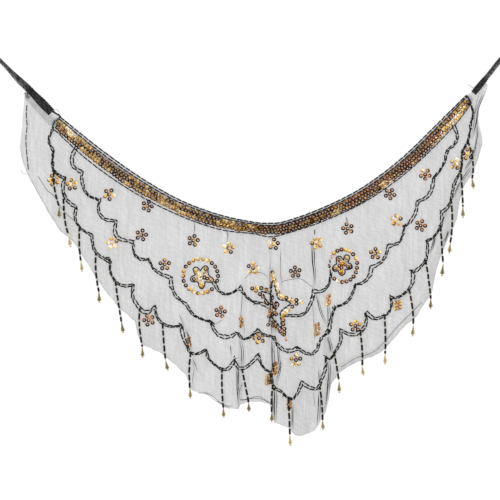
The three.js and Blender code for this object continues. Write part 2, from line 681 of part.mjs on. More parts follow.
const BEAD_LINES = [
  { name: 'inner_line_left', line: INNER_LEFT }, { name: 'inner_line_right', line: INNER_RIGHT },
  { name: 'middle_line_left', line: MIDDLE_LEFT },
  { name: 'middle_line_centre', line: MIDDLE_CENTRE },
  { name: 'middle_line_right', line: MIDDLE_RIGHT },
];
for (const { name, line } of BEAD_LINES) {
  addPiece(name, stripGeometry(liftedLine(line), LINE_WIDTH), BEADS);
}
addPiece('star_left', stripGeometry(liftedLine(STAR_LEFT), STAR_WIDTH), SEQUINS);
addPiece('star_right', stripGeometry(liftedLine(STAR_RIGHT), STAR_WIDTH), SEQUINS);
DROP_LINES.forEach((line, i) => addPiece(`drop_line_${i + 1}`, dropLineGeometry(line), BEADS));
for (const flower of FLOWERS) addPiece(flower.name, flowerGeometry(flower), PETALS);

// The origin goes under the middle of the part's box, at table height.
const box = new THREE.Box3().setFromObject(veil);
const middle = box.getCenter(new THREE.Vector3());
veil.position.set(-middle.x, -middle.y, -box.min.z);
veil.updateMatrixWorld(true);

export default veil;
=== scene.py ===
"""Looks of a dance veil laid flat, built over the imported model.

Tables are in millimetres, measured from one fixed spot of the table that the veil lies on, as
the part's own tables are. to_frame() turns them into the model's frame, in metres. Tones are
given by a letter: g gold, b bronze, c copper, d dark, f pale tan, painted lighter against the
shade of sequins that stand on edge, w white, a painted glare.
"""
import math
import random

import bmesh
import bpy
import numpy as np
from mathutils import Matrix, Vector


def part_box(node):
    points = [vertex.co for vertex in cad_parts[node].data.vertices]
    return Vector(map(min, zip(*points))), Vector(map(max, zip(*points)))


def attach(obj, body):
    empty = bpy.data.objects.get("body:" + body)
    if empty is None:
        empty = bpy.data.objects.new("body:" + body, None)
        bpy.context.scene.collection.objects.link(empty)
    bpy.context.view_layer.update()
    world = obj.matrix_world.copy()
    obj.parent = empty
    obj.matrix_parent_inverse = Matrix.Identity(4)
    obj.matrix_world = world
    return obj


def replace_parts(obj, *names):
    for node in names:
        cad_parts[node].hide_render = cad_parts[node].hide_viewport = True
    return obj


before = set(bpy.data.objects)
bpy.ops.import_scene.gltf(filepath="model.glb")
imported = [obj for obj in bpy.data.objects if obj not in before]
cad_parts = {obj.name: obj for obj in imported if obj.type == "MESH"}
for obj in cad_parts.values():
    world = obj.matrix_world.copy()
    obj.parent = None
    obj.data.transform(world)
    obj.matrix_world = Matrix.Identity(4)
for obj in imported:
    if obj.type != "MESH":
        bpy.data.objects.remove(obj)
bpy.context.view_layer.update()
NET_LOW, NET_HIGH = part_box("veil_net")
MM = 0.001
# The net's least x and greatest y in the tables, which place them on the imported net.
NET_LEFT = -230
NET_TOP = 169
SHIFT = np.array([NET_LOW.x - NET_LEFT * MM, NET_HIGH.y - NET_TOP * MM, 0.0])
BODY = "root"
SEED = 41
random.seed(SEED)
rng = np.random.default_rng(SEED)


def to_frame(points):
    """Table millimetres, as rows of x, y, z, to metres in the model's frame."""
    return np.asarray(points, float) * MM + SHIFT


# ---- Camera: straight down on the fixed spot, from far off ----
# Metres of the table from edge to edge of the view, then lens and sensor in mm.
VIEW = 0.5
LENS = 200
SENSOR = 36
FAR_CLIP = 20
camera_data = bpy.data.cameras.new("camera")
camera_data.lens = LENS
camera_data.sensor_width = SENSOR
camera_data.clip_end = FAR_CLIP
camera = bpy.data.objects.new("camera", camera_data)
camera.location = Vector((SHIFT[0], SHIFT[1], VIEW * LENS / SENSOR))
bpy.context.collection.objects.link(camera)
bpy.context.scene.camera = camera

# ---- The same sizes and tables as the solids ----
NET_WALL = 1.1
SEAM_GAP = 0.3
FLOOR_GAP = 0.4
# Heights of a bead line are taken this far apart.
STEP = 5
DROP_STRAND = 1.5
DROP_PEAR = 4.6
# A fold grows to its full height over this share of its length, and runs on to this one.
FOLD_GROWS = 0.35
FOLD_ENDS = 1.1
# Spots round a plan point whose net a bead line has to clear, across and along the folds.
CLEAR_ACROSS = np.arange(-6, 6.1, 0.75)
CLEAR_ALONG = [-14, -7, 0, 7, 14]

# The net's free edge, from the left corner round the bottom to the right side.
HEM = [
    (-230, 104), (-229, 94), (-225, 81), (-218.5, 68), (-206, 45), (-197.5, 31), (-189, 18),
    (-177, 9), (-168.5, -4), (-152, -31), (-139, -48), (-129, -60), (-115, -71), (-113, -82),
    (-108.5, -95), (-99, -98), (-86, -105), (-64, -125), (-59, -139), (-51, -143.5),
    (-41, -144.5), (-29.5, -154), (-22, -158.5), (-11.5, -159), (-9.5, -154), (0, -152),
    (11, -151.5), (19, -154.5), (21.5, -158), (24, -173), (31, -174.5), (38, -178), (45, -185),
    (53, -185.5), (64, -181), (69.5, -173), (75, -163), (78.5, -150), (81, -135), (89, -123),
    (102, -114), (129, -104), (144, -89), (151, -80), (167, -66), (175, -52), (181, -46),
    (187, -17), (194, 2), (201.5, 19), (207, 31), (209.5, 48), (213.5, 63), (221, 75),
    (227, 87), (232.4, 106),
]
# Band: top edge x, y and low edge x, y, left end to right end.
BAND = [
    (-189, 133, -197, 122), (-150, 102, -160, 88.5), (-110, 73.5, -118, 59.2),
    (-70, 50.5, -76, 37.2), (-30, 35.5, -33, 21.5), (5, 28, 4, 16), (20, 27.3, 20, 12.6),
    (35, 29, 37, 16.2), (70, 41.5, 75, 29), (110, 61.5, 117, 49), (150, 91, 159, 79),
    (190, 129.5, 200.5, 119.5), (215.5, 154.5, 221, 145.5),
]
# The net's corners past the ends of the band.
LEFT_CORNER = [(-225, 158), (-219, 158), (-209, 148), (-198, 138.5)]
RIGHT_CORNER = [(223, 158.5), (228.5, 164.5), (233, 169), (237.6, 165)]
# The net's right side curls in: from hem x, to hem x, low y, high y, how far.
RIGHT_CURL = (207, 232.4, 106, 165, 7)
# Where a hanging thread starts on the upper edge, and where it meets the hem.
HANG = [
    (-225, -230), (-189, -197), (-110, -106), (-73, -60), (-9, -10.5), (21, 23.5), (31, 32),
    (40, 41.5), (61, 69), (64, 76.5), (80, 84), (140, 150), (214, 207), (237.6, 232.4),
]
# Folds of the solid: start x, y, end x, y, rise, width.
FOLDS = [
    (-71, -62, -59, -137, 3.2, 9), (-20, -90, -11.5, -159, 2.6, 7),
    (-9, -30, -9.5, -154, 3, 8), (20, 4, 24, -173, 4.2, 9), (31, -2, 31, -140, 2.6, 8),
    (39, -112, 41.5, -182, 2.2, 7), (61.5, 6, 77, -160, 4.2, 10), (66, -130, 69, -175, 2.4, 7),
    (187, 8, 180, -40, 2.2, 9), (205, 60, 202, 24, 2.2, 9), (228, 156, 226, 118, 2, 8),
]

# Scalloped lines: a start, then a belly point and an end for each run.
LINES = {
    "inner_line_left": [
        (-37.5, -30.5), (-28, -55), (-9, -36), (-7, -49), (6, -52.5), (13, -54), (18, -56.5)],
    "inner_line_right": [
        (39, -64.8), (58, -71), (62.5, -47), (63, -43), (63, -40.5), (74, -45), (79.5, -32),
        (81.2, -27), (81.6, -22.5)],
    "middle_line_left": [
        (-175.5, 99), (-183, 80), (-168, 78.5), (-171, 54), (-150, 50), (-157, 27),
        (-133.5, 29.5), (-140, 7), (-116.5, 9), (-121, -12), (-101, -9), (-96, -25),
        (-79, -27.5), (-81, -42), (-69, -50), (-64, -53), (-60, -60), (-55, -70),
        (-39, -71.5)],
    "middle_line_centre": [
        (-38, -73.3), (-33, -94), (-12, -83), (-7, -97), (8, -79.5), (16, -87), (24, -86.5),
        (28, -101), (38, -101), (44, -101), (47, -97.5), (63, -111), (69, -95), (70, -86),
        (78, -83)],
    "middle_line_right": [
        (79, -81.5), (81, -66), (84, -57), (102, -55), (105.5, -34.5), (121, -33),
        (120.5, -17), (136, -15), (138.5, 4.5), (154, 4), (153.5, 24.5), (166, 27),
        (167.5, 48.5), (183, 52), (183.5, 73), (195, 80), (196.5, 99), (213, 111),
        (204.5, 121)],
    "drop_line_1": [
        (-197, 118.5), (-206, 110), (-196, 100), (-200, 89), (-196, 79), (-191, 72),
        (-184.5, 72.5), (-193, 53), (-173.5, 42), (-180, 24), (-158, 15.5), (-159.5, -5),
        (-143.2, -10)],
    "drop_line_2": [
        (-140, -10.5), (-140.5, -40), (-117, -35.5), (-121, -47), (-110, -58), (-104, -67),
        (-94.5, -56), (-96, -80), (-69.5, -75.5)],
    "drop_line_3": [
        (-69, -77.5), (-66, -90), (-60, -102), (-54, -106), (-44, -100), (-42, -114),
        (-28, -119), (-19, -121), (-15.5, -108.5), (-12, -131), (8, -105.5), (12, -118),
        (20, -122), (22, -128), (23, -136)],
    "drop_line_4": [
        (24.2, -138.5), (30, -139), (34, -145), (46, -157), (51.5, -131), (55, -136),
        (61, -138), (70, -141), (71, -131), (77, -119), (75.5, -106), (80, -113), (84, -102),
        (94, -93), (90.3, -79.5), (102, -89), (111.5, -80.5), (118, -74), (115.6, -62.5)],
    "drop_line_5": [
        (120.6, -66.4), (124, -72), (134.5, -66), (145, -58), (139.8, -46), (148, -52),
        (159, -39), (167, -30), (160.8, -20), (167, -24), (175.3, -10), (180, 2),
        (176.3, 9.5), (184, 9), (190.3, 24), (193, 32), (190.5, 38), (198, 40), (201.3, 50),
        (202, 58), (203.5, 66), (208, 73), (211, 82.5), (213, 91), (211.3, 98.5), (217, 104),
        (219, 112), (219, 122), (221.5, 130), (223.5, 138), (221.5, 142)],
}
# Drops of each lower line: root, bend, neck and tip of each.
DROPS = {
    "drop_line_1": [
        ((-196.4, 79), (-195.5, 62), (-190.5, 43), (-190.6, 31.5)),
        ((-188.2, 56), (-185, 30), (-180.8, 14.5), (-179.2, 2.8)),
        ((-171.8, 23), (-170.5, 3), (-169, -10.5), (-167.8, -22)),
        ((-153, -2), (-154, -22), (-151, -41.5), (-150.5, -53))],
    "drop_line_2": [
        ((-134.5, -32), (-131.5, -53), (-128.5, -71.5), (-126.6, -83.5)),
        ((-110, -58.5), (-110.6, -75), (-107.7, -96.5), (-107.3, -108)),
        ((-87.6, -76.5), (-86, -94), (-84.3, -110.5), (-82, -120.5))],
    "drop_line_3": [
        ((-60, -103), (-60.7, -120), (-60, -137.5), (-59.5, -148.5)),
        ((-29, -119.5), (-28, -138), (-26.7, -157.5), (-26.3, -167.5)),
        ((-8, -121), (-3.5, -141), (-1.3, -152.5), (-1, -161.5)),
        ((22.2, -134.5), (21.5, -150), (21.7, -162), (21.6, -171.5))],
    "drop_line_4": [
        ((38.7, -148), (39.3, -170), (39.8, -184), (40.4, -196)),
        ((70.2, -136.5), (71.8, -154), (72.4, -169.5), (73, -179.5)),
        ((84, -102.5), (86.7, -117), (89, -131.5), (89.3, -143)),
        ((111.3, -81.5), (112.3, -103), (112, -115.5), (113.4, -125.5))],
    "drop_line_5": [
        ((134.5, -67), (135.4, -88), (135, -103.5), (135, -114.5)),
        ((160, -40), (162.6, -60), (163.2, -75), (162.4, -86.5)),
        ((175.5, -11), (178.5, -30), (180.5, -48.5), (180.4, -59)),
        ((190.4, 23.5), (191.7, 2), (192.9, -14), (191.7, -26.5)),
        ((201.8, 49), (202, 28), (200, 7.5), (199, -3.5)),
        ((211.3, 81.5), (212, 58), (212.7, 43.5), (212.8, 32)),
        ((219.5, 108), (222.8, 88), (221.8, 71.5), (223.5, 61))],
}
# Tie sections from the sewn end: x, y, width, how far on the net.
TIES = {
    "tie_left": [
        (-198.3, 137.4, 8, 1), (-209, 148.4, 8, 1), (-219.5, 159.2, 7.2, 1),
        (-226.5, 165.8, 6.5, 1), (-234, 173, 6.1, 0), (-250, 189.5, 3.8, 0),
        (-270, 209, 4.8, 0), (-290, 225, 6, 0), (-308, 235, 7, 0), (-322, 239.5, 7.5, 0)],
    "tie_right": [
        (223.3, 156.8, 5.7, 1), (228, 162.5, 5.7, 1), (232.8, 168.3, 5.6, 1),
        (238, 174.6, 5.2, 1), (242.5, 180, 5.2, 0), (250, 189.5, 4.8, 0),
        (267, 208.5, 4.8, 0), (286, 225, 6, 0), (305, 236, 7, 0), (322, 242, 7.5, 0)],
}

# ---- Finer marks of the cloth: creases that run down the net, darker as denser cloth with painted shade beside them ----
# Points, softness to the left and to the right in mm, which is how far the painted shade spreads,
# darkness, height.
CREASES = [
    ([(-24, 20), (-21, 12)], 0.8, 1.5, 0.25, 0.2),
    ([(-9, -28), (-8, -40), (-8.7, -58.7), (-12, -82)], 1.2, 3.5, 0.34, 0.8),
    ([(-5.9, -73.6), (-5.6, -84)], 0.7, 1.2, 0.3, 0.3),
    ([(-10.5, -90.4), (-8.4, -100), (-8.2, -105.4), (-8.2, -117.5)], 0.9, 2.4, 0.55, 0.8),
    ([(-19.9, -94), (-18, -106)], 1, 1.6, 0.5, 0.4),
    ([(-14.3, -116), (-12.9, -133.4), (-11.9, -145.5), (-11.4, -158.6)], 1.0, 3.0, 0.85, 0.9),
    ([(-11.4, -116), (-11.8, -130), (-11.9, -144)], 0.8, 1.6, 0.5, 0.6),
    ([(-7.3, -133.4), (-11, -141.8)], 0.8, 1.5, 0.45, 0.4),
    ([(19.5, 1), (20, -12), (20.2, -30), (20.6, -67)], 0.9, 2.2, 0.42, 0.8),
    ([(21.2, -50), (20.7, -57), (21.4, -85)], 1.2, 1.6, 0.8, 0.8),
    ([(24, -66), (25.4, -84)], 0.8, 1.4, 0.6, 0.5),
    ([(30.3, 2), (30.5, -12), (30.6, -26), (31.3, -38)], 0.7, 1.4, 0.4, 0.4),
    ([(21.7, -86), (22.2, -112.8), (20.8, -124), (22.2, -138)], 1.1, 2.2, 1.0, 1.0),
    ([(26, -86), (27.4, -96), (28.2, -107), (28.7, -117.5), (26.2, -130), (25.9, -138)],
     0.8, 1.6, 0.7, 0.6),
    ([(32, -111), (30.1, -117.5), (27.3, -126)], 0.7, 1.2, 0.5, 0.3),
    ([(22.2, -138), (22.4, -155), (23.2, -171)], 1.2, 1.6, 1.1, 1.0),
    ([(24.6, -138), (24.8, -155), (24.9, -173)], 1.0, 1.6, 1.0, 0.8),
    ([(41.3, -150), (41.6, -166), (41.9, -180)], 0.9, 1.8, 0.6, 0.6),
    ([(61.6, 9), (62.3, -8), (63.2, -20), (63.7, -33), (62.4, -39)], 0.9, 2.0, 1.0, 1.0),
    ([(65, -42), (68.4, -54), (72.1, -66), (76.8, -76.5)], 0.7, 1.4, 0.62, 0.6),
    ([(62, -48), (62.8, -63), (64.5, -84), (64, -96)], 0.9, 1.8, 0.28, 0.4),
    ([(77.7, -55), (78.2, -68), (78.4, -78)], 0.8, 1.4, 0.75, 0.6),
    ([(77.7, -84.7), (80.4, -96), (81.4, -103.5)], 0.9, 1.5, 0.7, 0.8),
    ([(76.8, -86.7), (79.5, -95), (80.2, -104)], 0.8, 1.4, 0.5, 0.4),
    ([(68.4, -119), (69.3, -129.6), (68.8, -142.7)], 1.0, 1.6, 0.6, 0.6),
    ([(68.8, -142), (68.4, -161), (66.8, -175)], 1.3, 2.0, 1.0, 0.8),
    ([(77.7, -111), (78.6, -119.4), (78.2, -133), (76.8, -147), (74.6, -158)], 1.3, 1.9, 1.05, 0.9),
    ([(63.7, -141.8), (64.6, -157)], 0.7, 1.4, 0.3, 0.3),
    ([(-70.6, -64), (-65, -78)], 1.2, 1.8, 0.4, 0.5),
    ([(-65, -79), (-60.5, -92), (-58.5, -101)], 1.0, 1.6, 0.75, 0.6),
    ([(-57.5, -108), (-54, -116), (-52, -123)], 0.8, 1.2, 0.45, 0.4),
    ([(-60, -110), (-56, -118), (-58, -138)], 1.2, 2, 0.35, 0.4),
    ([(-55, 27), (-55, 18)], 0.8, 1.2, 0.2, 0.2),
    ([(64, 21), (64, 15)], 0.8, 1.2, 0.35, 0.2),
    ([(96, 33), (97, 28)], 0.8, 1.2, 0.3, 0.2),
    ([(185, 15), (183, 5), (180, -3)], 1.2, 2.5, 0.4, 0.6),
    ([(198, 20), (195, 10), (192, 2)], 1.2, 2.5, 0.4, 0.6),
    ([(235.2, 159), (230.3, 148), (227.3, 139), (225.8, 128), (222.5, 112)], 0.8, 1.6, 0.9, 0.5),
    ([(230, 158), (226.5, 148), (224.5, 138), (222, 126)], 0.9, 2.0, 0.35, 0.4),
    ([(226, 128), (227.8, 116), (225.2, 100), (220, 88)], 0.8, 1.4, 0.6, 0.4),
    ([(224, 96), (218, 86), (214, 78)], 2.0, 2.5, 0.55, 0.4),
    ([(221, 84), (213, 72), (206, 60), (203, 52)], 1, 1.8, 0.6, 0.4),
    ([(208, 65), (199, 44), (192, 26)], 1, 2, 0.4, 0.4),
    ([(185, 15), (182, 4), (180, -3)], 1, 1.8, 0.6, 0.5),
    ([(198, 20), (195, 12), (192, 8)], 1, 1.8, 0.6, 0.5),
    ([(-60, 20), (-64, -20), (-62, -50)], 5, 6, 0.07, 0.3),
    ([(-100, 30), (-104, -10), (-98, -60)], 5, 7, 0.06, 0.3),
    ([(45, 10), (46, -50), (50, -100)], 4, 6, 0.06, 0.3),
    ([(100, 20), (104, -30), (104, -80)], 5, 6, 0.06, 0.3),
    ([(140, 50), (146, 10), (146, -40)], 5, 6, 0.06, 0.3),
]
# Turned and doubled cloth: a strip between the hem and a line this far inside it.
TURNED = [
    ((-218.5, 68), (-177, 9), 1.4, 0.08),
    ((81, -135), (232.4, 106), 7.0, 0.05),
]

# Cloth that lies double away from the hem: points, half width, how much darker.
DOUBLED = [
    ([(-221, 153), (-209, 140), (-198.5, 128)], 4.2, 0.17),
    ([(225, 160), (232, 166)], 4, 0.12),
    ([(22, -20), (21, -80), (22.5, -130)], 3.2, 0.05),
    ([(-8, -88), (-9, -120), (-11, -156)], 3.0, 0.07),
    ([(76, -90), (78, -130), (74, -160)], 3.0, 0.08),
    ([(52, -110), (52, -180)], 13, 0.035),
    ([((a + c) / 2, (b + d) / 2) for a, b, c, d in BAND], 4.5, 0.24),
    ([(-224, 157), (-222, 153)], 2, 0.2),
]


# ---- Small geometry helpers ----
def smooth(points, count):
    """A soft curve through points, in count even parameter steps."""
    p = np.asarray(points, float)
    ends = np.vstack([2 * p[0] - p[1], p, 2 * p[-1] - p[-2]])
    place = np.linspace(0, len(p) - 1, count)
    i = np.minimum(place.astype(int), len(p) - 2)
    t = (place - i)[:, None]
    a, b, c, d = ends[i], ends[i + 1], ends[i + 2], ends[i + 3]
    return 0.5 * (2 * b + (c - a) * t + (2 * a - 5 * b + 4 * c - d) * t ** 2
                  + (3 * b - a - 3 * c + d) * t ** 3)


def drawn(points, density):
    """A soft curve with density steps a point, or the straight line between two points."""
    if len(points) > 2:
        return smooth(points, density * len(points))
    return np.array(points, float)


def lengths(path):
    """How far along a path each of its points lies."""
    return np.concatenate([[0], np.cumsum(np.linalg.norm(np.diff(path, axis=0), axis=1))])


def at(path, far):
    """The point, or points, of a path at a distance along it."""
    run = lengths(path)
    return np.stack([np.interp(far, run, path[:, k]) for k in range(path.shape[1])], axis=-1)


def sides(path):
    """Unit vectors to the left of a path, in plan."""
    heading = np.gradient(path[:, :2], axis=0)
    heading /= np.linalg.norm(heading, axis=1)[:, None] + 1e-9
    return np.stack([-heading[:, 1], heading[:, 0]], axis=1)


def arc(start, pull, end, count):
    """Points of an arc from start to end that a third point pulls to its side."""
    t = np.linspace(0, 1, count)[:, None]
    return (1 - t) ** 2 * start + 2 * t * (1 - t) * pull + t ** 2 * end


def runs_of(row):
    """Plan points of a scalloped line, one arc for each belly and end."""
    points = np.array(row, float)
    return [arc(*points[k:k + 3], 17) for k in range(0, len(points) - 2, 2)]


def scallops(row):
    """The same arcs as one path."""
    return np.vstack([run[:-1] for run in runs_of(row)] + [np.array([row[-1]], float)])


def fold_rise(x, y):
    """How far the solid net stands off the table."""
    x, y = np.asarray(x, float), np.asarray(y, float)
    rise = np.zeros(np.broadcast(x, y).shape)
    for x1, y1, x2, y2, high, width in FOLDS:
        along = (y1 - y) / (y1 - y2)
        off = np.abs(x - (x1 + (x2 - x1) * along)) / (width / 2)
        grown = np.clip(along / FOLD_GROWS, 0, 1)
        grown = grown * grown * (3 - 2 * grown)
        here = high * grown * np.cos(np.minimum(off, 1) * math.pi / 2) ** 2
        rise = np.maximum(rise, np.where((along > 0) & (along <= FOLD_ENDS), here, 0))
    return rise


def clear_height(x, y):
    """Height that clears the solid net around a plan point."""
    dx, dy = np.meshgrid(CLEAR_ACROSS, CLEAR_ALONG)
    return NET_WALL + fold_rise(x + dx, y + dy).max() + SEAM_GAP


def lifted(path):
    """A plan path at the height of the solid line that it stands for."""
    marks = np.arange(0, lengths(path)[-1] + STEP, STEP)
    spots = at(path, np.minimum(marks, lengths(path)[-1]))
    high = np.array([clear_height(x, y) for x, y in spots])
    wide = np.maximum(high, np.maximum(np.roll(high, 1), np.roll(high, -1)))
    z = np.interp(lengths(path), marks, wide)
    return np.column_stack([path, z])


def nearest(line, spot):
    """The point of a line that lies nearest to a spot, in plan."""
    return line[np.argmin(np.hypot(*(line[:, :2] - spot).T))]


def net_height(x, y):
    """Top of the net at a plan point."""
    return NET_WALL + fold_rise(x, y)


# ---- Colours and nodes ----
def hexed(code, alpha=1.0):
    """An sRGB hex colour as linear red, green, blue and alpha."""
    parts = [int(code[i:i + 2], 16) / 255 for i in (1, 3, 5)]
    return tuple(((c + 0.055) / 1.055) ** 2.4 if c > 0.04045 else c / 12.92
                 for c in parts) + (alpha,)


class Finish:
    """A node material: add() makes a node, sets its sockets and links what feeds them."""

    def __init__(self, name):
        self.material = bpy.data.materials.new(name)
        self.material.use_nodes = True
        self.tree = self.material.node_tree
        self.tree.nodes.clear()
        self.shader = self.add("ShaderNodeBsdfPrincipled")
        output = self.add("ShaderNodeOutputMaterial")
        self.link(self.shader, "BSDF", output, "Surface")

    def add(self, kind, feeds=None, **settings):
        node = self.tree.nodes.new(kind)
        for key, value in settings.items():
            setattr(node, key, value)
        for socket, value in (feeds or {}).items():
            if isinstance(value, tuple) and hasattr(value[0], "outputs"):
                self.tree.links.new(value[0].outputs[value[1]], node.inputs[socket])
            else:
                node.inputs[socket].default_value = value
        return node

    def link(self, source, output, target, socket):
        self.tree.links.new(source.outputs[output], target.inputs[socket])

    def set(self, **values):
        for name, value in values.items():
            self.shader.inputs[name.replace("_", " ")].default_value = value

    def coords(self, scale=(1, 1, 1)):
        place = self.add("ShaderNodeTexCoord")
        return self.add("ShaderNodeMapping", {"Vector": (place, "Object"), "Scale": scale})

    def noise(self, across_mm, detail=3, scale=(1, 1, 1)):
        """Noise whose blotches are about across_mm wide."""
        where = self.coords(scale)
        return self.add("ShaderNodeTexNoise", {
            "Vector": (where, "Vector"), "Scale": 1 / (across_mm * MM), "Detail": detail})

    def bump(self, source, output, strength, depth_mm):
        node = self.add("ShaderNodeBump", {
            "Height": (source, output), "Strength": strength, "Distance": depth_mm * MM})
        self.link(node, "Normal", self.shader, "Normal")


def toned(name, mottle, roughness, metallic=0.0, coat=0.0, specular=0.5, grain_mm=1.2):
    """A finish that takes its colour from each bead's tone, with a slight mottle. On sequins and
    pears that tone also holds painted light and shade.
    """
    finish = Finish(name)
    tone = finish.add("ShaderNodeAttribute", attribute_name="tone")
    noise = finish.noise(grain_mm, 4)
    shade = finish.add("ShaderNodeMapRange", {
        "Value": (noise, "Fac"), "From Min": 0.3, "From Max": 0.7,
        "To Min": 1 - mottle, "To Max": 1 + mottle})
    mixed = finish.add("ShaderNodeVectorMath", {
        0: (tone, "Color"), "Scale": (shade, "Result")}, operation="SCALE")
    finish.link(mixed, "Vector", finish.shader, "Base Color")
    finish.set(Roughness=roughness, Metallic=metallic, Coat_Weight=coat,
               Specular_IOR_Level=specular)
    finish.bump(noise, "Fac", 0.25, 0.15)
    return finish


# Cupped film sequins, metallised in bronze and gold.
sequin_film = toned("sequin_film", 0.2, 0.36, metallic=0.95, specular=0.2)
# Black glass bugle beads, with a soft gleam.
black_glass = toned("black_glass", 0.3, 0.3, specular=0.22)
# Champagne glass seed and pear beads, glossy under a thin clear coat.
champagne_glass = toned("champagne_glass", 0.12, 0.18, coat=0.3)


def make_net_finish():
    """Soft black net, see-through: alpha follows the mesh, its streaks and its bunching, which
    carries painted crease shade too.
    """
    finish = Finish("soft_black_net")
    bunch = finish.add("ShaderNodeAttribute", attribute_name="bunch")
    streaks = finish.noise(3.2, 3, (1, 0.1, 1))
    fine = finish.noise(1.25, 2, (1, 0.07, 1))
    cloud = finish.noise(38, 2)
    weave = finish.add("ShaderNodeTexWave", {
        "Vector": (finish.coords((0.6, 1, 1)), "Vector"), "Scale": 105.0, "Distortion": 9.0,
        "Detail": 2.0, "Detail Scale": 1.4}, wave_type="BANDS", bands_direction="DIAGONAL")
    # What makes up the alpha: a source, the range it is read over, and the range it gives.
    layers = [(streaks, 0.25, 0.75, 0.255, 0.335), (fine, 0.3, 0.7, -0.036, 0.036),
              (cloud, 0.3, 0.7, -0.015, 0.015), (weave, 0.0, 1.0, -0.02, 0.02)]
    total = None
    for source, low, high, least, most in layers:
        layer = finish.add("ShaderNodeMapRange", {
            "Value": (source, "Fac"), "From Min": low, "From Max": high,
            "To Min": least, "To Max": most})
        if total is None:
            total = (layer, "Result")
            continue
        summed = finish.add("ShaderNodeMath", {0: total, 1: (layer, "Result")}, operation="ADD")
        total = (summed, "Value")
    alpha = finish.add("ShaderNodeMath", {0: total, 1: (bunch, "Fac")}, operation="ADD",
                       use_clamp=True)
    finish.link(alpha, "Value", finish.shader, "Alpha")
    finish.set(Base_Color=hexed("#161616"), Roughness=0.85, Specular_IOR_Level=0.15)
    return finish


soft_net = make_net_finish()


def make_tape_finish():
    """Woven black tape: diagonal ribs and grey flecks that follow the strip's own length."""
    finish = Finish("woven_black_tape")
    tone = finish.add("ShaderNodeAttribute", attribute_name="tone")
    strip = finish.add("ShaderNodeUVMap", uv_map="strip")
    ribs = finish.add("ShaderNodeTexWave", {
        "Vector": (strip, "UV"), "Scale": 3.6, "Distortion": 6.0, "Detail": 3.0},
        wave_type="BANDS", bands_direction="DIAGONAL")
    flecks = finish.noise(1.6, 4)
    stretched = finish.add("ShaderNodeMapping", {
        "Vector": (strip, "UV"), "Scale": (1.6, 11.0, 1.0)})
    streaks = finish.add("ShaderNodeTexNoise", {
        "Vector": (stretched, "Vector"), "Scale": 1.0, "Detail": 3.0})
    rough = finish.add("ShaderNodeMath", {
        0: (streaks, "Fac"), 1: (flecks, "Fac")}, operation="MULTIPLY")
    shade = finish.add("ShaderNodeMapRange", {
        "Value": (rough, "Value"), "From Min": 0.16, "From Max": 0.36,
        "To Min": 0.15, "To Max": 3.4})
    mixed = finish.add("ShaderNodeVectorMath", {
        0: (tone, "Color"), "Scale": (shade, "Result")}, operation="SCALE")
    finish.link(mixed, "Vector", finish.shader, "Base Color")
    finish.set(Roughness=0.85, Specular_IOR_Level=0.2)
    finish.bump(ribs, "Fac", 0.4, 0.12)
    return finish


woven_tape = make_tape_finish()


def make_thread_finish():
    """Black sewing thread, dull and slightly mottled."""
    finish = Finish("black_thread")
    noise = finish.noise(0.8, 2)
    ramp = finish.add("ShaderNodeMix", {
        "Factor": (noise, "Fac"), 6: hexed("#1c1b1b"), 7: hexed("#3a3838")}, data_type="RGBA")
    finish.tree.links.new(ramp.outputs[2], finish.shader.inputs["Base Color"])
    finish.set(Roughness=0.9)
    finish.bump(noise, "Fac", 0.3, 0.05)
    return finish


black_thread = make_thread_finish()


# ---- Bead and sequin shapes, repeated into joined meshes ----
def shape_from(build):
    """Points and faces of one small shape, and how far each point takes its edge tone over its core
    tone, which paints light and shade on sequins and pears.
    """
    bm = bmesh.new()
    edge = build(bm)
    points = np.array([v.co for v in bm.verts])
    faces = [[v.index for v in f.verts] for f in bm.faces]
    bm.free()
    shade = np.array([edge(p) for p in points])
    flat = np.array([i for face in faces for i in face])
    sizes = np.array([len(face) for face in faces])
    return points, flat, sizes, shade


def round_bead(bm):
    """A seed bead of radius 1, dark round its waist."""
    bmesh.ops.create_uvsphere(bm, u_segments=8, v_segments=6, radius=1)
    bm.verts.index_update()
    return lambda p: 1 - abs(p[2])


def bugle_bead(bm):
    """A tube bead of radius and length 1, its end edges bevelled."""
    bmesh.ops.create_cone(bm, cap_ends=True, segments=8, radius1=1, radius2=1, depth=1)
    bmesh.ops.bevel(bm, geom=[e for e in bm.edges if abs(e.verts[0].co.z - e.verts[1].co.z) < 0.1],
                    offset=0.06, segments=1, affect="EDGES")
    bm.verts.index_update()
    return lambda p: 0.0


def lathed(bm, profile, segments):
    """Rings at each height and radius of the profile, joined by quads."""
    rings = [bmesh.ops.create_circle(bm, segments=segments, radius=radius,
                                     matrix=Matrix.Translation((0, 0, z)))["verts"]
             for z, radius in profile]
    for first, second in zip(rings, rings[1:]):
        for k in range(segments):
            n = (k + 1) % segments
            bm.faces.new((first[k], first[n], second[n], second[k]))
    return rings


def pear_bead(bm):
    """A faceted drop, neck at z = 0 and base at z = 1, widest radius 1."""
    profile = [(0.0, 0.24), (0.25, 0.34), (0.5, 0.56), (0.7, 0.86), (0.82, 1.0), (0.93, 0.88),
               (1.0, 0.42)]
    rings = lathed(bm, profile, 10)
    bm.faces.new(rings[0][::-1])
    bm.faces.new(rings[-1])
    bm.verts.index_update()

    def edge(p):
        """Dark through the middle, paler along both sides and at the ends: painted light and shade
        of clear glass seen from above.
        """
        aside = abs(p[0]) / math.hypot(p[0], p[1])
        return 1.0 if p[2] > 0.98 or p[2] < 0.1 else aside ** 1.2
    return edge


